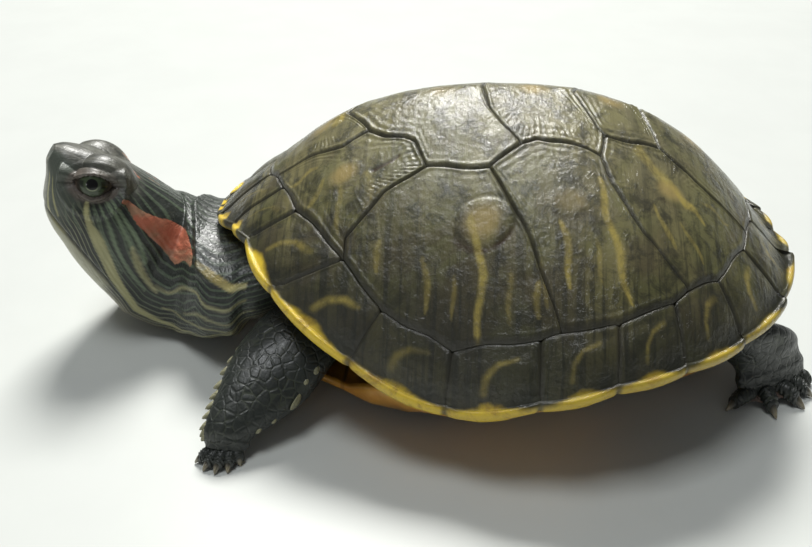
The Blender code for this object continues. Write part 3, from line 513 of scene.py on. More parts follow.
# --- horny plates ---
def waver(plan):
    """Slight waviness of the seams: the same small shift for every plate that meets there."""
    x, y = np.abs(plan[..., 0]), plan[..., 1]
    inside = np.sign(plan[..., 0]) * np.clip((x - 0.5) / 3, 0, 1)
    return plan + 0.13 * stack(np.sin(0.7 * y + 0.4 * x) * inside, np.sin(0.6 * x - 0.4 * y))


def seam_line(names, side=1):
    """Plan points of named seam points, mirrored for the right side."""
    return np.array([SEAMS[n] for n in names.split()]) * (side, 1)


def streaks(plan, seed):
    """Strength of the yellow streaks at plan points, the same on both sides: each fades with the
    distance from its line, a little shaken, and is widest in its middle."""
    x, y = np.abs(plan[..., 0]), plan[..., 1]
    shaken = stack(x + 0.35 * np.sin(1.7 * y), y + 0.35 * np.sin(0.8 * x + seed))
    strength = np.zeros(x.shape)
    for line, wide, strong in STREAKS:
        far, share = line_distance(shaken, line)
        wide = wide * (0.55 + 0.9 * np.sin(np.pi * np.clip(0.15 + 0.8 * share, 0, 1)))
        strength = np.maximum(strength, strong * (1 - ease(far, 0.35 * wide, 1.5 * wide)))
    return strength


def dome_plate(name, outline, start, seed):
    """Horny plate of the dome. Its rings run from where it first grew out to its outline; its
    height is the dome's, less a rounded edge, plus growth ridges, a low boss in the middle and
    fine creases across its edge; then its wall goes down to a flat inner face."""
    look = bpy.context.scene.turtle_shell
    line = resample(np.vstack([outline, outline[:1]]), PLATE_AROUND * 6 + 1)[:-1]
    for _ in range(3):
        line = (np.roll(line, 1, 0) + line + np.roll(line, -1, 0)) / 3
    start = np.array(start, float)
    spoke = waver(line[::6]) - start
    long = length(spoke)
    share = 1 - (1 - np.linspace(0.02, 1, PLATE_RINGS)[:, None])**1.8
    reach = share * (long - SEAM_INSET) / long
    plan = start + spoke * reach[..., None]
    x, y, height = plan[..., 0], plan[..., 1], dome(plan)
    edge = long * (1 - reach) * 0.92
    rough = lambda scale, number: ripple(stand(plan, height), scale, seed + number)
    ridges = np.sin(edge * 5.2 + 1.2 * rough(0.35, 0)) * bell(edge - 1.4, 1.5)
    ridges *= ease(rough(0.16, 6), -0.5, 0.4)
    crease = np.sin(circle(PLATE_AROUND) * 71 + 7 * rough(0.3, 1)) * bell(edge - 1.5, 1.2)
    crease *= ease(rough(0.22, 2), -0.1, 0.6) * ease(height, 30, 40)
    costal, second = name.startswith("costal"), name.startswith("costal_2")
    boss, strong = (AREOLA, 1.0) if second else (0.72 * AREOLA, 0.35 if costal else 0.12)
    out = share * long
    if costal:
        out = np.hypot((np.abs(x) - abs(start[0])) / BOSS_SHAPE, y - start[1] - BOSS_SHIFT * second)
    brim = bell(out - boss, 0.42)
    crack = bell(line_distance(plan, CRACK)[0], 0.28)
    relief = (look.ridges * (0.035 * ridges + 0.12 * crease) + 0.10 * rough(0.5, 3)
              + 0.05 * rough(1.7, 4) + strong * (0.26 * bell(out, boss, 6) - 0.16 * brim)
              + 0.09 * bell(edge - 0.55, 0.26) - look.groove * bell(edge, 0.2, 1.5)
              - PLATE_SINK - 0.2 * crack)
    if name in KNOBS:
        knob, tall = KNOBS[name]
        relief += tall * bell(x, 1.5) * bell(y - knob, 1.3)
    inner = start + (plan[-1:] - start) * 0.9
    grid = np.concatenate([stand(plan, height + relief), stand(plan[-1:], height[-1:] - 0.75 * PLATE),
                           stand(inner, dome(inner) - PLATE)])
    downhill = strong * ease(np.abs(x) - abs(start[0]), -0.5, 3.0)
    pad = lambda v: np.pad(v, ((0, 2), (0, 0)), "edge")
    return Tube(grid, edge=pad(edge), ring=pad(out / boss), streak=pad(streaks(plan, seed)),
                brim=pad(np.maximum(brim * downhill, crack)), plate=1.0)


def plate_outlines():
    """Name, outline and growth start of every plate of the dome."""
    for name, (names, start) in VERTEBRALS.items():
        left = seam_line(names)
        yield name, np.vstack([left, left[-2:0:-1] * (-1, 1)]), start
    for name, (names, start) in COSTALS.items():
        for side, word in SIDES:
            yield f"{name}_{word}", seam_line(names, side), (side * start[0], start[1])


def rim_stretch(index):
    """The rim of one edge plate: its middle stands out, and so does the rear corner of a hind one."""
    line = RIM_CURVE[index * 8:(index + 1) * 8 + 1].copy()
    share = np.linspace(0, 1, len(line))
    run = line[-1, :2] - line[0, :2]
    out = unit((run[1], -run[0])) if index else np.zeros(2)
    stand_out = SCALLOP * np.sin(np.pi * share) - 0.08 * (index > 0)
    stand_out += SERRATION * np.clip((index - 7) / 4, 0, 1) * share**3 * (index < 12)
    line[:, :2] += stand_out[:, None] * out
    return line


def edge_plate(index, side):
    """Horny plate of the edge: its section, from the inner seam over the top, round the rim and
    back underneath, is carried along from seam to seam, and shrinks a little at both ends."""
    look = bpy.context.scene.turtle_shell
    inner, outer = seam_line(EDGE_PLATES[index]), rim_stretch(index)
    if index == 0:
        inner = np.vstack([inner[::-1] * (-1, 1), inner[1:]])
        outer = np.vstack([outer[::-1] * (-1, 1, 1), outer[1:]])
    inner, outer = waver(resample(inner, EDGE_ALONG, CROWD)), resample(outer, EDGE_ALONG, CROWD)
    inner = inner + unit(outer[:, :2] - inner) * SEAM_INSET
    long = length(np.diff((inner + outer[:, :2]) / 2, axis=0)).sum()
    along = crowded(EDGE_ALONG, CROWD)
    shift = (1 - 2 * along)[:, None] * SEAM_INSET / long
    inner, outer = inner + shift * (inner[-1] - inner[0]), outer + shift * (outer[-1] - outer[0])
    out = outer[:, :2] - inner
    spread = lambda share: inner[:, None] + out[:, None] * share[:, None]
    push = lambda share: unit(out)[:, None] * share[:, None]
    end = (np.minimum(along, 1 - along) * long)[:, None]
    across = 1 - (1 - np.linspace(0, 1, EDGE_ACROSS))**1.15
    plan = spread(across)
    top = dome(plan)
    top = top + (outer[:, 2:] - top) * ease(across, 0.9, 1.0)
    near = np.minimum(end, across * length(out)[:, None])
    flat = stand(plan, top)
    relief = (0.42 * ease(near, 0.0, 2.6) * np.sin(np.pi * across)**0.8
              + 0.07 * ripple(flat, 0.7, index + 40) + 0.04 * ripple(flat, 1.9, index + 50)
              + 0.08 * bell(near - 0.6, 0.25) - look.groove * bell(near, 0.2, 1.5) - EDGE_SINK)
    upper = stand(plan, top + relief * (1 - ease(across, 0.82, 1.0)))
    upper[..., :2] -= push(0.5 * ease(across, 0.5, 1.0))
    bend = np.linspace(0, np.pi, LIP_RINGS + 2)[1:-1]
    lip = stack(outer[:, :1], outer[:, 1:2], outer[:, 2:] + RIM_THICKNESS / 2 * (np.cos(bend) - 1))
    lip[..., :2] += push(0.5 * np.sin(bend) - 0.5)
    back = np.linspace(0.93, 0.0, UNDER_RINGS)
    rise, ceiling = ease(1 - back, 0.35, 1.0), dome(spread(back)) - PLATE
    level = (outer[:, 2:] - RIM_THICKNESS) * (1 - rise) + ceiling * rise
    grid = np.concatenate([upper, lip, stand(spread(back), np.minimum(level, ceiling + 0.3))], 1)
    centre = grid.mean(1, keepdims=True)
    grid = centre + (grid - centre) * (1 - 0.05 * bell(end, 0.3, 1.4))[..., None]
    grid[..., 0] *= side
    profile = np.concatenate([across, 1 + np.linspace(0.02, 0.18, LIP_RINGS), 2 - back])
    lengthwise = (along if index else np.abs(2 * along - 1))[:, None]
    far, share = line_distance(stack(lengthwise, profile) * BAR_STRETCH, BAR_LINE * BAR_STRETCH)
    bar = 1 - ease(far, 0.005, 0.075 + 0.02 * np.sin(7 * lengthwise + index))
    middle, gain, less = (0.5, 1.0, 0.0) if index > 2 else (0.3, 1.5, 0.6)
    return Tube(grid, edge=np.hstack([near, np.repeat(end, LIP_RINGS + UNDER_RINGS, 1)]), ring=3.0,
                streak=bar * (0.45 + 0.4 * np.sin(np.pi * share)) * BAR_STRENGTH[index], rim=profile,
                blotch=bell(lengthwise - 0.83, 0.2) * bell(profile - 0.86, 0.16),
                lens=gain * bell(lengthwise - middle, 0.3) - less, warm=np.clip((index - 4) / 6, 0, 1))


def plastron_piece():
    """Lower shell: a slab between its lower face and the same face raised, grooved along its
    midline and five cross seams, between its twelve plates, by narrow hollows."""
    y = np.linspace(PLASTRON_EDGE[0, 1], PLASTRON_EDGE[-1, 1], 150)[:, None]
    flat, reach, _ = plastron_widths(y)
    t = np.linspace(0, 1, 44)
    side = np.where(t < 0.6, flat * t / 0.6, flat + (reach - flat) * (t - 0.6) / 0.4)
    x = np.concatenate([-side[:, :0:-1], side], 1)
    aside = np.abs(x)
    y = y - TAIL_NOTCH * np.clip((y - 38.0) / 4.6, 0, 1) * (1 - aside / reach)**2
    plan = stack(x, y)
    low, seam = plastron_height(plan), aside
    for level, bow in PLASTRON_SEAMS:
        seam = np.minimum(seam, np.abs(y - level - bow * (aside / 28)**1.5))
    lift = 0.3 * bell(seam, 0.3, 1.5) + 0.05 * ripple(stand(plan, low), 0.6, 5) * (seam > 0.3)
    lift *= np.clip(reach - aside, 0, 1)
    pad = lambda v, w: np.concatenate([v, w[:, ::-1]], 1)
    return Tube(pad(stand(plan, low + lift), stand(plan, low + PLASTRON_THICKNESS)),
                edge=pad(seam, seam), ring=pad(aside / reach, aside / reach))


# --- head and neck ---
def eye_axes(side):
    """Unit vectors of an eye: out along its gaze, forward along its slit, and up across it."""
    gaze = unit((np.array(GAZE) * (1, side, 1)) @ AXES)
    slit = AXES[0] * math.cos(SLIT_TILT) - AXES[2] * math.sin(SLIT_TILT)
    slit = unit(slit - gaze * (slit @ gaze))
    over = np.cross(gaze, slit)
    return gaze, slit, over * np.sign(over @ AXES[2])


def swell_to_brow(centre, points, side):
    """Push points out from their section's centre to the swelling round an eye socket: each ray
    leaves an ellipsoid at the larger root of a quadratic, blended in where it meets it squarely."""
    middle = head_point(BROW_PLACE[0], side * BROW_PLACE[1], BROW_PLACE[2])
    size = np.array(BROW_SIZE) * HEAD_LENGTH
    ray = points - centre
    far = length(ray)
    way = ray / far[..., None]
    o, d = ((centre - middle) @ AXES.T) / size, (way @ AXES.T) / size
    a, b, c = (d * d).sum(-1), (o * d).sum(-1), (o * o).sum(-1) - 1
    root = b * b - a * c
    out = (-b + np.sqrt(np.maximum(root, 0))) / a
    wanted = 0.5 * (far + out + np.sqrt((far - out)**2 + 0.8))
    gain = ease(root / a, 0.0, 0.012) * (wanted - far) * (out > 0)
    return points + way * gain[..., None]


def set_lids(points, side):
    """Fit the skin round an eyeball: inside a lens-shaped opening it goes behind the ball, at the
    opening's edge it lies on the ball as two lids, and a shallow groove runs round both lids."""
    gaze, slit, over = eye_axes(side)
    eye = eye_centre(side)
    ray = points - eye
    far = length(ray)
    way = ray / np.maximum(far, 1e-6)[..., None]
    facing = way @ gaze
    a, b = way @ slit * EYE_RADIUS, way @ over * EYE_RADIUS
    tall = np.where(b > 0, LID_UP, LID_DOWN)
    opening = ((np.abs(a) / LID_LONG)**1.7 + (np.abs(b) / tall)**1.7)**(1 / 1.7)
    near = (facing > 0.05) & (opening < 1.6) & (far < 6)
    snapped = 1 + np.sign(opening - 1) * np.abs(opening - 1)**1.5 / 0.6**0.5
    grow = np.clip(np.where(near, snapped / np.maximum(opening, 1e-3), 1), 0.3, 1.6)
    a, b = a * grow, b * grow
    flat = np.sqrt(np.clip(EYE_RADIUS**2 - a * a - b * b, 0.05, None))
    moved = unit(a[..., None] * slit + b[..., None] * over + flat[..., None] * gaze)
    way = np.where(near[..., None], moved, way)
    opening = np.where(near, snapped, opening)
    offset_a, offset_b = (way * far[..., None]) @ slit, (way * far[..., None]) @ over
    fold = np.hypot(offset_a / FOLD_LONG, offset_b / np.where(offset_b > 0, FOLD_UP, FOLD_DOWN))
    in_front = ease(facing, 0.0, 0.25)
    lid = EYE_RADIUS + 0.34 + 0.22 * bell(opening - 1.12, 0.14)
    skin = np.where(facing > 0, np.maximum(far, lid * in_front), far)
    skin = skin + (0.16 * bell(fold - 1.2, 0.1) - 0.34 * bell(fold - 1, 0.085)) * in_front
    inside = (opening < 1.0) & (facing > 0.05)
    skin = np.where(inside, EYE_RADIUS - 0.5, skin)
    lids = (1 - ease(fold, 0.95, 1.08)) * in_front * (far < 7)
    return eye + way * skin[..., None], lids, inside


def stripe_mask(place, path, wide):
    """1 within a stripe, fading at its edges: the distance to a smooth line on the unrolled skin
    against a half width given at each of the line's points."""
    line = smooth_path(np.array(path) * (HEAD_LENGTH, HALF_GIRTH), 6)
    far, share = line_distance(place, line)
    width = np.interp(share, np.linspace(0, 1, len(wide)), wide)
    return 1 - ease(far, width - 0.16, width + 0.14)


def head_and_neck():
    """The head, neck and shoulders as one tube of squared-off elliptical sections, with brows,
    lids, mouth line, nostrils, cheek and neck folds raised or sunk in it."""
    table = smooth_path(HEAD_SECTIONS, 24)
    back = np.concatenate([[-0.0205], np.linspace(-0.02, 0.12, 34), np.linspace(0.124, 0.44, 92),
                           np.linspace(0.446, 0.88, 64)])
    top, bottom, half = [np.interp(back, table[:, 0], column)[:, None] for column in table.T[1:]]
    half[0], top[0], bottom[0] = half[0] * 0.6, top[0] - 0.02, bottom[0] + 0.02
    rows = np.hstack([
        NOSE + HEAD_LENGTH * (-back[:, None] * AXES[0] + (top + bottom) / 2 * AXES[2]),
        AXES[1] * half * HEAD_LENGTH, AXES[2] * (top - bottom) / 2 * HEAD_LENGTH])
    knots = np.vstack([rows[[-32, -16, -1]], np.reshape(NECK, (-1, 9))])
    path = smooth_path(knots, NECK_STEPS)[2 * NECK_STEPS + 1:]
    steps = np.diff(np.vstack([rows[-1:, :3], path[:, :3]]), axis=0)
    back = np.concatenate([back, 0.88 + length(steps).cumsum() / HEAD_LENGTH])
    rows = np.vstack([rows, path])
    centres, sides, ups = rows[:, None, :3], rows[:, None, 3:6], rows[:, None, 6:]
    angle = circle(HEAD_COLUMNS)
    box = (HEAD_BOXINESS + (0.9 - HEAD_BOXINESS) * ease(back, 1.2, 1.7))[:, None]
    squared = lambda wave: (np.sign(wave) * np.abs(wave)**box)[..., None]
    points = centres + sides * squared(np.cos(angle)) + ups * squared(np.sin(angle))
    row, turn = np.broadcast_arrays(back[:, None], np.abs((angle + np.pi / 2) % TURN - np.pi) / np.pi)
    side = np.where(np.cos(angle) >= 0, 1, -1)
    for which, _ in SIDES:
        mine = (side == which) & (row < 0.885)
        points = np.where(mine[..., None], swell_to_brow(centres, points, which), points)
    ray = unit(points - centres)
    forward, over = [(points - NOSE) @ AXES[k] / HEAD_LENGTH for k in (0, 2)]
    line = unit(MOUTH_FRONT - MOUTH_BACK)
    to_mouth = ((over - MOUTH_FRONT[1]) * line[0] - (forward - MOUTH_FRONT[0]) * line[1]) * HEAD_LENGTH
    mouth_here = ease(-row, -0.70, -0.60) * ease(turn, 0.15, 0.3)
    lift = (0.16 * bell(to_mouth - 0.75, 0.5) - 0.42 * bell(to_mouth, 0.24)) * mouth_here
    lift += 0.10 * ripple(points, 0.9, 7) * ease(row, 0.35, 0.8)
    lift += 0.07 * ripple(points, 2.2, 8) * ease(row, 0.5, 0.9)
    lift += 0.75 * bell(row - 0.60, 0.17) * bell(turn - 0.42, 0.13)
    lift -= 0.30 * bell(row - 0.84, 0.05) * bell(turn - 0.42, 0.22)
    pleat = np.sin(row * HEAD_LENGTH * 1.05 + 1.4 * ripple(points, 0.25, 9)) * ease(row, 0.95, 1.15)
    lift += 0.22 * pleat * ease(turn, 0.2, 0.5) * (1 - 0.7 * ease(turn, 0.65, 0.8))
    lift += 1.7 * bell(row - 1.06, 0.2) * ease(turn, 0.58, 0.86)
    start, slant, low = COLLAR
    past = row - start - slant * turn
    collar = ease(past, -0.02, 0.035) * np.exp(-np.maximum(past, 0) / 0.35)
    collar *= ease(low - turn, 0, 0.06)
    points = points + ray * (lift + collar * (1.25 + 0.25 * ripple(points, 1.6, 12)))[..., None]
    for which, _ in SIDES:
        far = length(points - head_point(0.0, which * 0.030, 0.105))
        points = points - AXES[0] * (0.45 * bell(far, 0.42))[..., None]
    lids, inside = np.zeros(turn.shape), np.zeros(turn.shape)
    for which, _ in SIDES:
        mine = (side == which) & (row < 0.7)
        shaped, lid, within = set_lids(points, which)
        points = np.where(mine[..., None], shaped, points)
        lids, inside = np.where(mine, lid, lids), np.where(mine, within, inside)
    place = stack(row * HEAD_LENGTH, turn * HALF_GIRTH)
    marks = {name: np.max([strong * stripe_mask(place, path, wide) for path, wide, strong in lines], 0)
             for name, lines in (("cream", CREAM_LINES), ("line", THIN_LINES), ("red", RED_PATCH))}
    drop = np.interp(row, LINE_DROP[:, 0], LINE_DROP[:, 1]) * ease(turn, 0.05, 0.38)
    # Of these values, mouth and socket mark where the finish paints shade: the mouth's groove and the skin
    # tucked behind the eyeballs.
    return Tube(points, flow=turn - drop, back=row, turn=turn, lid=lids, socket=inside, collar=collar,
                mouth=bell(to_mouth, 0.35) * mouth_here, jaw=ease(-to_mouth, 0.0, 0.4) * mouth_here,
                beak=(1 - ease(row + 0.25 * turn, 0.30, 0.42)) * ease(turn, 0.12, 0.3),
                head=1 - ease(row, 0.9, 1.2), **marks)


# --- limbs, feet and tail ---
def limb_rows(table, toes, side, stride, radius, palm_share):
    """Sections of a limb from the shoulder to the end of the palm, and the toe roots and tips."""
    centres, edges = [np.array([row[k] for row in table], float) for k in (0, 1)]
    centres[:, 1] += stride * np.linspace(0, 1, len(table))**1.5
    thicks = unit(np.cross(np.gradient(centres, axis=0), edges)) * [[row[2]] for row in table]
    ankle, edge, thick = centres[-1], edges[-1], thicks[-1]
    onward = unit(np.cross(edge, thick))
    start = ankle + onward * np.sign(onward @ (ankle - centres[-2])) * GAP
    tips = np.array([(x, y + stride, 0.17) for x, y in toes])
    palm = start + (tips.mean(0) - start) * palm_share
    palm[2] = 0.9 * radius
    spread = (tips[-1] - tips[0]) / 2
    spread = spread * np.sign(edge[:2] @ spread[:2])
    flat_up = unit(unit(thick) + UP * 0.4 * np.sign(thick[2])) * radius
    rows = np.vstack([
        np.hstack([centres, edges, thicks]),
        np.concatenate([(start + palm) / 2, (edge + spread * 0.8) / 2, (thick + flat_up) / 2]),
        np.concatenate([palm, spread * 0.62, flat_up]),
        np.concatenate([palm + (palm - start) * 0.12, spread * 0.5, flat_up * 0.6])])
    flip, roots = np.array([side, 1, 1]), []
    for number, tip in enumerate(tips):
        share = number / 2 - 1
        fan = spread * 0.55 * share * np.sign(spread @ (tips[-1] - tips[0]))
        root = palm + fan - (palm - start) * 0.12
        roots.append((root * flip, tip * flip, radius * (1 - 0.13 * abs(share))))
    return rows * np.tile(flip, 3), roots


def limbs():
    """Each limb: fore or hind, left or right, its side, its sections and its toes."""
    for word, table, toes, radius, palm, stride in FEET:
        for side, hand in SIDES:
            yield (word, hand, side,
                   *limb_rows(table, toes, side, stride if side < 0 else 0.0, radius, palm))


def on_floor(points, level):
    """Flatten whatever is below a level just above the floor."""
    points[..., 2] = np.maximum(points[..., 2], level)
    return points


def limb_tube(rows, seed):
    """A limb as one tube of elliptical sections from shoulder to palm, with folds across its
    joints and a gentle unevenness all over."""
    path = smooth_path(rows, LIMB_STEPS)
    points = rings(path[:, :3], path[:, 3:6], path[:, 6:], LIMB_COLUMNS)
    way = unit(points - path[:, None, :3])
    run = np.linspace(0, 1, len(path))[:, None]
    fold = np.sin(run * 58 + 2.0 * ripple(points, 0.35, seed)) * ease(run, 0.55, 0.7)
    lift = 0.09 * fold + 0.16 * ripple(points, 0.8, seed + 1) + 0.1 * ripple(points, 2.0, seed + 2)
    points = points + way * (lift * ease(run, 0.05, 0.2))[..., None]
    return Tube(on_floor(points, 0.04), limb=1.0)


def toe_tube(root, tip, radius):
    """One toe: a tapering tube that arches over two knuckles, flat where it meets the floor."""
    share = np.linspace(0, 0.77, 30)[:, None]
    run = tip - root
    lift = radius * (0.55 * np.sin(np.pi * np.clip(share / 0.9, 0, 1)) + 0.16 * np.sin(share * 30)**2)
    size = radius * np.interp(share, (0, 0.35, 0.6, 0.7, 0.74, 0.77), (1.0, 0.95, 0.84, 0.74, 0.6, 0.3))
    size = size * (1 + 0.07 * np.sin(share * 48))
    points = rings(root + run * share + UP * lift, size * unit((-run[1], run[0], 0)), size * UP, 16)
    return Tube(on_floor(points, 0.03), limb=1.0)


def claw_tube(root, tip, radius):
    """One claw: a cone that bends down in an arc from the toe's end to its point on the floor."""
    share = np.linspace(0.66, 1.0, 14)[:, None]
    t = (share - 0.66) / 0.34
    run = tip - root
    centre = root + run * share
    centre[:, 2:] = tip[2] + 0.1 + (1 - t**1.6) * (root[2] + run[2] * 0.66 + 0.3 * radius - tip[2])
    size = 0.62 * radius * (1 - t)**0.7 + 0.09
    return Tube(rings(centre, 0.8 * size * unit((-run[1], run[0], 0)), size * UP, 16), tip=t)


def web_tube(first, second, reach):
    """Skin between two toes: a thin sheet between their middles, its free edge curved inward."""
    t, a = np.linspace(0.05, 1, 10)[:, None], np.linspace(0, 1, 10)
    far = (reach * t * (1 - 0.32 * np.sin(np.pi * a)))[..., None]
    one, two = [root + (tip - root) * far + UP * 0.35 * size for root, tip, size in (first, second)]
    sheet = one + (two - one) * a[:, None]
    thick = UP * (0.16 * (1 - 0.5 * t) * np.sin(np.pi * np.clip(a, 0.04, 0.96)))[..., None]
    grid = np.concatenate([sheet + thick, (sheet - thick)[:, ::-1]], 1)
    return Tube(on_floor(grid, 0.05), limb=1.0, web=1.0)


def scale_tube(foot, out, along, wide, tall, long):
    """One raised scale: a flattened cone, rounded at its base, that leans along the limb."""
    t = np.linspace(0, 1, 9)[:, None]
    out, along = unit(out), unit(along)
    size = np.sqrt(1 - t**1.7) * wide
    return Tube(rings(foot + out * tall * t + along * long * t**1.5, size * along,
                      size * 0.62 * np.cross(out, along), 14), limb=1.0, cream=1.0)


def limb_scales(rows):
    """Raised scales of a fore limb: pointed ones on its leading edge, a few broad ones behind."""
    path = smooth_path(rows, LIMB_STEPS)
    for share, angle, sunk, *sizes in LIMB_SCALES:
        row, after = [path[int(s * (len(path) - 1))] for s in (share, share + 0.05)]
        out = row[3:6] * math.cos(angle) + row[6:] * math.sin(angle)
        yield scale_tube(row[:3] + out * sunk, out, after[:3] - row[:3], *sizes)


def tail_tube():
    """The tail: a tapering tube along a smooth path, slightly ribbed."""
    path = smooth_path(TAIL_PATH, 12)
    share = np.linspace(0, 1, len(path))[:, None]
    radius = (TAIL_TAPER * (1 - share)**0.8 + TAIL_TIP) * (1 + 0.03 * np.sin(share * 70))
    tangent = np.gradient(path, axis=0)
    side = unit(np.cross(tangent, UP))
    return Tube(rings(path, radius * side, 0.85 * radius * unit(np.cross(side, tangent)), 48), limb=1.0)


def trunk_tube():
    """The body inside the shell: rings under the dome, then rings over the plastron."""
    angle = circle(TRUNK_COLUMNS) + np.pi / TRUNK_COLUMNS
    waves = stack(np.sin(angle), -np.cos(angle))
    shares = np.linspace(0.04, 1, 24)[:, None]
    plan = np.sign(waves) * np.abs(waves)**TRUNK_SQUARENESS * TRUNK_HALF * shares[..., None]
    top = dome(TRUNK_SPREAD * plan) - PLATE - TRUNK_CLEARANCE - TRUNK_SHOULDER * ease(shares, 0.8, 1)
    low = plan[::-1] * FLOOR_NARROWING
    bottom = plastron_height(low) + PLASTRON_THICKNESS + FLOOR_CLEARANCE
    # Its dark mark makes the finish paint it as shade inside the shell.
    return Tube(np.concatenate([stand(plan, top), stand(low, bottom)]), limb=1.0, dark=1.0)


def eye_tube(side):
    """An eyeball round its gaze, with a clear bulge over the iris."""
    gaze, slit, over = eye_axes(side)
    away = np.linspace(0.02, np.pi - 0.02, 60)[:, None]
    size = EYE_RADIUS * (1 + 0.045 * bell(away, 0.62, 4))
    wide = size * np.sin(away)
    angle, flat = circle(72), EYE_RADIUS * np.sin(away)
    return Tube(rings(eye_centre(side) + size * np.cos(away) * gaze, wide * slit, wide * over, 72),
                iris_a=flat * np.cos(angle), iris_b=flat * np.sin(angle), front=np.cos(away))


# --- finishes ---
def feed(socket, value):
    """Link a shader value to a socket, or set the socket to a number, vector or colour."""
    if isinstance(value, Wire):
        socket.id_data.links.new(value.socket, socket)
    elif value is not None:
        socket.default_value = (*value, 1.0) if socket.type == "RGBA" else value


def put(tree, kind, inputs=(), out=0, **settings):
    """Add a shader node, set it and feed its inputs by order or name; gives one of its outputs."""
    made = tree.nodes.new("ShaderNode" + kind)
    for name, value in settings.items():
        setattr(made, name, value)
    for place, value in inputs.items() if isinstance(inputs, dict) else enumerate(inputs):
        feed(made.inputs[place], value)
    return Wire(made.outputs[out])


class Wire:
    """A shader value; +, - and * each add one Math node."""

    def __init__(self, socket):
        self.socket, self.tree = socket, socket.id_data

    def math(self, operation, *others):
        """One Math node of this value and others."""
        return put(self.tree, "Math", (self, *others), operation=operation)

    def __add__(self, other):
        return self.math("ADD", other)

    def __sub__(self, other):
        return self.math("SUBTRACT", other)

    def __mul__(self, other):
        return self.math("MULTIPLY", other)

    def between(self, low, high, out_low=0.0, out_high=1.0):
        """The value's place between low and high, as an S-curve from out_low to out_high."""
        return put(self.tree, "MapRange", (self, low, high, out_low, out_high),
                   interpolation_type="SMOOTHSTEP")

    def outside(self, low, high, most=1.0):
        """As between, but falling: the most below low, nothing above high."""
        return self.between(low, high, most, 0.0)

    def mix(self, first, second):
        """Colour between two, with this value as the share of the second."""
        return put(self.tree, "Mix", {0: self, 6: first, 7: second}, 2, data_type="RGBA")


def grain(where, scale, detail=3.0, rough=0.55, bend=0.0):
    """Cloudy noise between 0 and 1; the scale is in clouds to the metre."""
    return put(where.tree, "TexNoise", {"Vector": where, "Scale": scale, "Detail": detail,
                                        "Roughness": rough, "Distortion": bend})


def cells(where, scale, feature="F1", random=1.0):
    """Cell pattern: distance to the cell's point or, by feature, to its edge."""
    return put(where.tree, "TexVoronoi", {"Vector": where, "Scale": scale, "Randomness": random},
               feature=feature)


def wet_grain(where):
    """Shared effect: fine unevenness of a wet surface. Gives a blotch mask, a fine mask and a height."""
    tree = bpy.data.node_groups.get("Wet grain")
    if tree is None:
        tree = bpy.data.node_groups.new("Wet grain", "ShaderNodeTree")
        tree.interface.new_socket("Vector", in_out="INPUT", socket_type="NodeSocketVector")
        for name in ("Blotch", "Fine", "Height"):
            tree.interface.new_socket(name, in_out="OUTPUT", socket_type="NodeSocketFloat")
        start, end = Wire(tree.nodes.new("NodeGroupInput").outputs[0]), tree.nodes.new("NodeGroupOutput")
        blotch, fine = grain(start, 130, 4, 0.6, 0.6), grain(start, 1500, 3, 0.6)
        height = fine * 0.6 + cells(start, 900) * 0.3
        for place, value in enumerate((blotch, fine, height)):
            feed(end.inputs[place], value)
    node = where.tree.nodes.new("ShaderNodeGroup")
    node.node_tree = tree
    feed(node.inputs[0], where)
    return [Wire(socket) for socket in node.outputs]


class Finish:
    """A material with one Principled shader, whose colour is laid on in layers."""

    def __init__(self, name, colour, rough, coat=0.0, coat_rough=0.05, specular=0.5):
        self.made = bpy.data.materials.new(name)
        self.made.use_nodes = True
        self.tree, self.colour = self.made.node_tree, tuple(colour)
        for socket, value in (("Base Color", self.colour), ("Roughness", rough), ("Coat Weight", coat),
                              ("Coat Roughness", coat_rough), ("Specular IOR Level", specular)):
            self.feed(socket, value)
        self.made.diffuse_color = (*colour, 1.0)
        self.where = self.place((1, 1, 1))

    def feed(self, socket, value):
        """Feed a socket of the material's shader."""
        feed(self.tree.nodes["Principled BSDF"].inputs[socket], value)

    def place(self, stretch):
        """Object coordinates in metres, stretched along the axes."""
        where = put(self.tree, "TexCoord", out="Object")
        return put(self.tree, "Mapping", (where, None, None, stretch), vector_type="POINT")

    def __getitem__(self, name):
        """The value that the mesh carries under this name."""
        return put(self.tree, "Attribute", out="Fac", attribute_name=name)

    def lay(self, share, colour):
        """Mix the colour so far towards another and make it the material's."""
        self.colour = share.mix(self.colour, colour)
        self.feed("Base Color", self.colour)

    def bump(self, socket, *steps):
        """Bump from height values, one on another; each depth is in metres."""
        under = None
        for height, depth in steps:
            under = put(self.tree, "Bump", {"Strength": 1.0, "Distance": depth, "Height": height,
                                            "Normal": under})
        self.feed(socket, under)


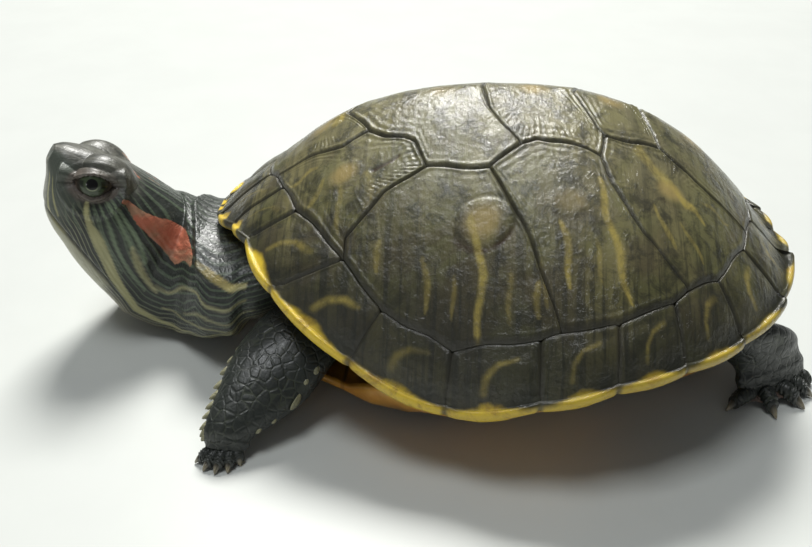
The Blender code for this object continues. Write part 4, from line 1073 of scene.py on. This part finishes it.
def horn_finish():
    """Wet horn of the plates: olive and brown clouds, thin dark rays running down the flank, yellow
    streaks, a tan boss with a brown brim, grey beside the seams, painted sheen lightening the upper
    plates and painted shade darkening the lower flank; edge plates add a curved bar, a dark blotch
    and a yellow rim."""
    look = bpy.context.scene.turtle_shell
    horn = Finish("turtle_horn", look.olive, 0.5, look.wetness, 0.12, 0.28)
    blotch, _, height = wet_grain(horn.where)
    edge, ring, rim, warm = [horn[name] for name in ("edge", "ring", "rim", "warm")]
    rays = grain(horn.place((0.12, 1.6, 0.08)), 620, 4, 0.62, 0.3)
    broad = grain(horn.place((0.25, 1.0, 0.22)), 190, 3, 0.5, 0.4)
    mottle = grain(horn.where, 330, 6, 0.75, 0.4)
    level = put(horn.tree, "SeparateXYZ", (horn.where,), 2)
    horn.lay(blotch.between(0.38, 0.62), look.brown)
    horn.lay(broad.between(0.48, 0.64, 0.0, 0.6), (0.215, 0.190, 0.075))
    # Painted sheen: the upper part of the shell is laid a lighter tan-grey, standing in for the broad
    # reflection of the lights above.
    horn.lay(level.between(0.025, 0.037, 0.0, 0.4), (0.27, 0.25, 0.13))
    # Dark rays of the horn's own pattern, laid stronger low on the flank as painted shade.
    horn.lay(rays.between(0.46, 0.64) * level.between(0.022, 0.036, 0.75, 0.3), look.dark)
    horn.lay(mottle.between(0.44, 0.64, 0.0, 0.7), look.dark)
    # Painted shade: low on the shell, away from the bosses, the horn is laid darker.
    low = level.outside(0.0175, 0.030) * ring.between(0.9, 1.6)
    horn.lay(low * mottle.between(0.3, 0.7, 0.9, 0.5), look.dark)
    core = ring.outside(0.25, 0.95) * broad.between(0.40, 0.62, 0.25, 0.85)
    horn.lay(core * horn["plate"], (0.36, 0.27, 0.095))
    horn.lay(horn["brim"] * 0.85, (0.050, 0.027, 0.014))
    horn.lay(horn["streak"] * mottle.between(0.36, 0.60, 1.0, 0.45), look.yellow)
    horn.lay(horn["blotch"] * 0.85, look.dark)
    past = rim + (blotch - 0.5) * 0.30 + (horn["lens"] - 0.35) * 0.17 - warm * 0.05
    lip = past.between(0.92, 1.04) * rim.outside(1.16, 1.30) * edge.between(0.1, 0.7, 0.25, 1.0)
    bright = warm.mix((0.80, 0.57, 0.04), (0.42, 0.31, 0.035))
    horn.lay(lip, mottle.between(0.45, 0.7).mix(bright, (0.40, 0.25, 0.03)))
    horn.lay(rim.between(1.3, 1.5, 0.0, 0.85), (0.13, 0.125, 0.08))
    horn.lay(edge.outside(0.08, 0.6) * rim.outside(0.9, 1.0, 0.7), look.seam)
    horn.feed("Roughness", blotch.between(0.35, 0.65, 0.42, 0.62))
    horn.bump("Normal", (rays * 0.7 + mottle * 0.5, 0.00010), (height, 0.00004))
    horn.bump("Coat Normal", (mottle + height, 0.00026))
    return horn.made


def belly_finish():
    """Wet yellow horn of the lower shell, amber towards the edge, with a dark smudge in each plate."""
    belly = Finish("turtle_belly", bpy.context.scene.turtle_shell.amber, 0.36, 0.5, 0.15)
    edge, (blotch, _, height) = belly["edge"], wet_grain(belly.where)
    belly.lay(blotch.between(0.35, 0.65), (0.64, 0.28, 0.035))
    smudge = grain(belly.where, 90, 3, 0.5, 0.8).between(0.52, 0.60) * edge.between(1.2, 3.4)
    belly.lay(smudge * belly["ring"].between(0.75, 0.95, 0.85, 0.1), (0.05, 0.04, 0.02))
    belly.lay(edge.outside(0.15, 0.5, 0.7), (0.16, 0.07, 0.015))
    belly.bump("Normal", (height, 0.00006))
    return belly.made


def skin_finish():
    """Wet skin: slate green with fine pale lines that follow the flow of the head, cream and green
    stripes, the red ear patch, lids, beak and jaw, a crown laid lighter partly as painted sheen,
    and painted shade in the mouth line, behind the eyeballs and on the trunk inside the shell; the
    limbs have big dark scales in a pale net."""
    look = bpy.context.scene.turtle_skin
    skin = Finish("turtle_skin", look.slate, 0.45, look.wetness, 0.28)
    where = skin.where
    blotch, fine, height = wet_grain(where)
    flow, limb, back, lid, head, turn, cream, collar = [skin[name] for name in (
        "flow", "limb", "back", "lid", "head", "turn", "cream", "collar")]
    on_limb, off_limb = limb.between(0.4, 0.6), limb.outside(0.4, 0.6)
    skin.lay(blotch.between(0.35, 0.65), (0.018, 0.022, 0.018))
    wander = (grain(where, 110, 2, 0.4) - 0.5) * 0.05
    wave = ((flow + wander) * (TURN * look.lines)).math("SINE")
    lines = (wave + (blotch - 0.5) * 1.4).between(0.38, 0.95)
    quiet = lid.between(0.1, 0.6, 1.0, 0.15) * back.between(0.10, 0.34, 0.35, 1.0)
    pale = flow.between(0.42, 0.62).mix(look.green, (0.27, 0.27, 0.17))
    skin.lay(lines * (quiet * off_limb) * 0.72, pale)
    skin.lay(skin["line"], (0.19, 0.25, 0.15))
    throat = turn.between(0.74, 0.9) * off_limb * 0.75 * back.between(0.9, 1.4, 1.0, 0.4)
    skin.lay(throat, (0.36, 0.33, 0.22))
    skin.lay(skin["beak"] * 0.55, (0.13, 0.15, 0.12))
    skin.lay(skin["jaw"] * 0.8, (0.42, 0.41, 0.28))
    skin.lay(lid * fine.between(0.3, 0.7, 0.6, 0.95), look.lids)
    # The crown is laid a lighter grey-brown: partly the head's own tone, partly painted sheen from the light
    # above.
    crown = turn.outside(0.22, 0.36, 0.85) * head * back.outside(0.42, 0.6)
    skin.lay(crown, (0.115, 0.112, 0.092))
    combed = grain(skin.place((1.0, 0.16, 0.6)), 1300, 3, 0.6, 0.4)
    skin.lay(crown * combed.between(0.5, 0.62), (0.055, 0.058, 0.048))
    skin.lay(crown * combed.outside(0.38, 0.46, 0.6), (0.21, 0.215, 0.18))
    red = (skin["red"] + (fine - 0.5) * 0.7).between(0.25, 0.75, 0.0, 0.95)
    skin.lay(red, blotch.between(0.42, 0.58).mix(look.red, (0.36, 0.20, 0.12)))
    skin.lay(cream * blotch.between(0.3, 0.5, 0.8, 1.0),
             flow.between(0.16, 0.34).mix((0.60, 0.44, 0.10), look.cream))
    skin.lay(collar * 0.9, (0.022, 0.027, 0.022))
    skin.lay(collar * grain(where, 900, 4, 0.7).between(0.55, 0.66) * 0.55, (0.30, 0.34, 0.30))
    # Painted shade in the sunk groove of the mouth line.
    skin.lay(skin["mouth"] * 0.8, (0.02, 0.02, 0.018))
    # Painted shade on the skin tucked behind the eyeball, in the gap inside the lids.
    skin.lay(skin["socket"], (0.05, 0.03, 0.025))
    net = cells(skin.place((1.0, 1.0, 0.8)), 760, "DISTANCE_TO_EDGE")
    small = cells(where, 1300, "DISTANCE_TO_EDGE", 0.9)
    lattice = net.outside(0.02, 0.085).math("MAXIMUM", small.outside(0.02, 0.07, 0.35))
    mark = grain(where, 210, 3, 0.6).between(0.44, 0.62, 0.05, 0.8)
    skin.lay(mark * lattice * on_limb, look.net)
    skin.lay(skin["web"] * 0.7, (0.30, 0.19, 0.15))
    skin.lay(cream * on_limb, (0.52, 0.50, 0.30))
    skin.lay(on_limb * 0.5, (0.012, 0.015, 0.013))
    # Painted shade: the trunk, seen only in the pockets of the shell, is laid nearly black.
    skin.lay(skin["dark"], (0.02, 0.022, 0.018))
    skin.feed("Roughness", fine.between(0.3, 0.7, 0.36, 0.56))
    pebbles = small.between(0.0, 0.25) * back.between(0.5, 1.0, 0.05, 0.16)
    high = net.between(0.0, 0.16) * (on_limb * 0.26) + pebbles
    rows = wave * back.between(0.3, 0.7, 0.0, 0.16) * off_limb
    crest = combed * head * back.outside(0.6, 0.8, 0.45)
    skin.bump("Normal", (high + crest + rows, 0.00022), (height, 0.00003))
    skin.bump("Coat Normal", (high + height * 0.3, 0.00008))
    return skin.made


def eye_finish():
    """Wet eye: a round black pupil, a pale ring and green iris crossed by a dark bar, dark outside."""
    look = bpy.context.scene.turtle_eyes
    eye = Finish("turtle_eye", look.iris, 0.3, 0.6, 0.02, 0.2)
    a, b = eye["iris_a"], eye["iris_b"]
    far = (a * a + b * b).math("SQRT")
    flecks = grain(eye.where, 2600, 4, 0.7)
    eye.lay(flecks.between(0.4, 0.62), (0.055, 0.075, 0.04))
    ring = far.between(look.pupil, look.pupil + 0.1) * far.outside(look.pupil + 0.14, look.pupil + 0.30)
    eye.lay(ring * b.between(-0.3, -0.9), (0.24, 0.27, 0.17))
    bar = (b + (flecks - 0.5) * 0.5).math("ABSOLUTE").outside(0.42, 0.72) * far.between(1.2, 1.5)
    eye.lay(bar * 0.85, (0.012, 0.014, 0.01))
    eye.lay(far.between(look.iris_size - 0.25, look.iris_size + 0.1), (0.035, 0.03, 0.022))
    eye.lay(far.between(look.iris_size + 0.25, look.iris_size + 0.7), (0.10, 0.075, 0.055))
    eye.lay(far.outside(look.pupil - 0.06, look.pupil + 0.06), (0.003, 0.003, 0.003))
    eye.lay(eye["front"].outside(0.0, 0.1), (0.08, 0.06, 0.05))
    return eye.made


def claw_finish():
    """Horn of the claws: dark at the root, paler towards the point."""
    claw = Finish("turtle_claw", (0.05, 0.045, 0.035), 0.25, 0.6, 0.08)
    claw.colour, (_, fine, height) = (0.035, 0.034, 0.028), wet_grain(claw.where)
    claw.lay(claw["tip"].between(0.15, 0.9), (0.30, 0.26, 0.17))
    claw.lay(fine.between(0.3, 0.7, 0.0, 0.35), (0.02, 0.02, 0.016))
    claw.bump("Normal", (height, 0.00004))
    return claw.made


def floor_finish():
    """Matt floor with faint clouds."""
    look = bpy.context.scene.turtle_stage
    floor = Finish("stage_floor", look.floor, 0.42, specular=0.4)
    floor.lay(grain(floor.where, 45, 5, 0.6).between(0.35, 0.65, 0.0, 0.35),
              [0.93 * c for c in look.floor])
    return floor.made


# --- settings a user may change ---
def tint(name, description, colour):
    """A colour setting."""
    return bpy.props.FloatVectorProperty(name=name, description=description, subtype="COLOR", size=3,
                                         min=0.0, max=1.0, default=colour)


def number(name, description, usual, low, high=1e6, **kind):
    """A number setting with its usual value and limits."""
    return bpy.props.FloatProperty(name=name, description=description, default=usual, min=low,
                                   max=high, **kind)


class ShellLook(bpy.types.PropertyGroup):
    """Colours and relief of the horny plates."""
    olive: tint("Olive", "Main colour of the plates", (0.125, 0.120, 0.046))
    brown: tint("Brown", "Colour of the brown clouds", (0.085, 0.070, 0.030))
    # The dark colour is also laid as painted shade low on the shell.
    dark: tint("Dark", "Colour of the dark rays and blotches", (0.014, 0.015, 0.009))
    yellow: tint("Yellow", "Colour of the streaks and bars", (0.42, 0.33, 0.075))
    seam: tint("Seam", "Colour beside the seams", (0.030, 0.028, 0.020))
    amber: tint("Amber", "Main colour of the lower shell", (0.74, 0.40, 0.055))
    ridges: number("Growth ridges", "Height of the growth ridges, as a share of the usual", 1.0, 0, 3)
    groove: number("Seam depth", "How deep the plates round off at a seam, in shell units", 0.26, 0, 1.2)
    wetness: number("Wetness", "Weight of the clear wet coat", 0.75, 0, 1, subtype="FACTOR")


class SkinLook(bpy.types.PropertyGroup):
    """Colours of the skin and how many fine lines cross it."""
    slate: tint("Slate", "Main colour of the skin", (0.030, 0.036, 0.029))
    green: tint("Green", "Colour of the fine lines", (0.10, 0.135, 0.085))
    cream: tint("Cream", "Colour of the broad stripes", (0.42, 0.40, 0.20))
    red: tint("Red", "Colour of the ear patch", (0.50, 0.15, 0.085))
    lids: tint("Lids", "Colour of the eyelids", (0.135, 0.108, 0.090))
    net: tint("Net", "Colour of the net between the scales of the limbs", (0.085, 0.098, 0.062))
    lines: number("Fine lines", "How many fine lines lie between the top and the underside", 30, 5, 80)
    wetness: number("Wetness", "Weight of the clear wet coat", 0.25, 0, 1, subtype="FACTOR")


class EyeLook(bpy.types.PropertyGroup):
    """Sizes and colour of the eyes, in shell units."""
    iris: tint("Iris", "Main colour of the iris", (0.050, 0.068, 0.036))
    pupil: number("Pupil", "Radius of the pupil, in shell units", 0.88, 0.2, 2)
    iris_size: number("Iris size", "Radius of the iris, in shell units", 2.1, 1, 3)


class StageLook(bpy.types.PropertyGroup):
    """Floor, light and camera."""
    floor: tint("Floor", "Colour of the floor", (0.62, 0.64, 0.61))
    key: number("Key light", "Power of the main light", 19.0, 0, subtype="POWER", unit="POWER")
    sky: number("Sky", "Strength of the even light all round", 0.115, 0)
    lens: number("Lens", "Focal length of the camera, in millimetres", 33.82, 10)


# --- operators ---
class TURTLE_OT_plates(bpy.types.Operator):
    """Make the horny plates of the carapace and the lower shell"""
    bl_idname = "turtle.plates"
    bl_label = "Make the shell plates"

    def execute(self, context):
        horn = horn_finish()
        for seed, (name, outline, start) in enumerate(plate_outlines()):
            make_piece("looks_" + name, [dome_plate(name, outline, start, seed)], horn, [name])
        edges = [(f"marginal_{index}_{word}", index, side) for index in range(1, 13) for side, word in SIDES]
        for name, index, side in [("nuchal", 0, 1)] + edges:
            make_piece("looks_" + name, [edge_plate(index, side)], horn, [name])
        make_piece("looks_plastron", [plastron_piece()], belly_finish(), ["plastron"])
        return {"FINISHED"}


class TURTLE_OT_skin(bpy.types.Operator):
    """Make the skin of the head, neck, limbs and tail as one piece"""
    bl_idname = "turtle.skin"
    bl_label = "Make the skin"

    def execute(self, context):
        tubes = [head_and_neck(), trunk_tube(), tail_tube()]
        nodes = ["trunk", "neck", "head", "lower_jaw", "tail"]
        for word, hand, side, rows, roots in limbs():
            tubes += [limb_tube(rows, 20 + side)] + [toe_tube(*toe) for toe in roots]
            tubes += [web_tube(*pair, WEB_REACH[word]) for pair in zip(roots[:-1], roots[1:])]
            tubes += limb_scales(rows) if word == "fore" else ()
            nodes += [f"{word}leg_{hand}", f"{word}foot_{hand}"]
        make_piece("skin", tubes, skin_finish(), nodes)
        return {"FINISHED"}


class TURTLE_OT_eyes(bpy.types.Operator):
    """Make both eyes"""
    bl_idname = "turtle.eyes"
    bl_label = "Make the eyes"

    def execute(self, context):
        wet = eye_finish()
        for side, word in SIDES:
            make_piece("looks_eye_" + word, [eye_tube(side)], wet, ["eye_" + word])
        return {"FINISHED"}


class TURTLE_OT_claws(bpy.types.Operator):
    """Make the claws, one piece for each foot"""
    bl_idname = "turtle.claws"
    bl_label = "Make the claws"

    def execute(self, context):
        horn = claw_finish()
        for word, hand, _, _, roots in limbs():
            make_piece(f"claws_{word}foot_{hand}", [claw_tube(*toe) for toe in roots], horn)
        return {"FINISHED"}


class TURTLE_OT_stage(bpy.types.Operator):
    """Lay the floor and set the lights and the camera"""
    bl_idname = "turtle.stage"
    bl_label = "Set the stage"

    def execute(self, context):
        look = context.scene.turtle_stage
        mesh = bpy.data.meshes.new("stage_floor")
        mesh.from_pydata([(-3, -3, 0), (3, -3, 0), (3, 3, 0), (-3, 3, 0)], [], [(0, 1, 2, 3)])
        mesh.materials.append(floor_finish())
        ground = bpy.data.objects.new("stage_floor", mesh)
        context.collection.objects.link(ground)
        for name, place, size, share, tone in LAMPS:
            lamp = bpy.data.lights.new(name, "AREA")
            lamp.shape, lamp.size, lamp.energy, lamp.color = "SQUARE", size, share * look.key, tone
            light = bpy.data.objects.new(name, lamp)
            light.location = place
            light.rotation_euler = (Vector(LIT_PLACE) - Vector(place)).to_track_quat("-Z", "Y").to_euler()
            context.collection.objects.link(light)
        world = bpy.data.worlds.new("studio")
        context.scene.world = world
        world.use_nodes = True
        sky = world.node_tree.nodes["Background"].inputs
        sky[0].default_value, sky[1].default_value = (0.93, 0.96, 1.0, 1.0), look.sky
        lens = bpy.data.cameras.new("camera")
        lens.lens, lens.sensor_width, lens.clip_start = look.lens, 36.0, 0.005
        camera = bpy.data.objects.new("camera", lens)
        turned = (Matrix.Rotation(CAMERA_TURN, 4, "Z") @ Matrix.Rotation(CAMERA_TILT, 4, "X")
                  @ Matrix.Rotation(CAMERA_ROLL, 4, "Z"))
        turned.translation = Vector(np.array(CAMERA_PLACE) * UNIT + SHIFT)
        camera.matrix_world = turned
        context.collection.objects.link(camera)
        context.scene.camera = camera
        context.scene.view_settings.view_transform = "Standard"
        return {"FINISHED"}


class TURTLE_PT_panel(bpy.types.Panel):
    """Lists what can be made and the settings"""
    bl_idname = "TURTLE_PT_panel"
    bl_label = "Slider turtle"
    bl_space_type = "VIEW_3D"
    bl_region_type = "UI"
    bl_category = "Turtle"

    def draw(self, context):
        for group, _ in LOOKS:
            look = getattr(context.scene, group)
            for name in look.bl_rna.properties.keys():
                if name not in ("rna_type", "name"):
                    self.layout.prop(look, name)
        for step in STEPS:
            self.layout.operator(step.bl_idname)


LOOKS = (("turtle_shell", ShellLook), ("turtle_skin", SkinLook), ("turtle_eyes", EyeLook),
         ("turtle_stage", StageLook))
STEPS = (TURTLE_OT_plates, TURTLE_OT_skin, TURTLE_OT_eyes, TURTLE_OT_claws, TURTLE_OT_stage)


def register():
    for name, look in LOOKS:
        bpy.utils.register_class(look)
        setattr(bpy.types.Scene, name, bpy.props.PointerProperty(type=look))
    for step in STEPS + (TURTLE_PT_panel,):
        bpy.utils.register_class(step)


def unregister():
    for step in reversed(STEPS + (TURTLE_PT_panel,)):
        bpy.utils.unregister_class(step)
    for name, look in reversed(LOOKS):
        delattr(bpy.types.Scene, name)
        bpy.utils.unregister_class(look)


def main():
    register()
    bpy.ops.turtle.plates()
    bpy.ops.turtle.skin()
    bpy.ops.turtle.eyes()
    bpy.ops.turtle.claws()
    bpy.ops.turtle.stage()


if __name__ == "__main__":
    main()
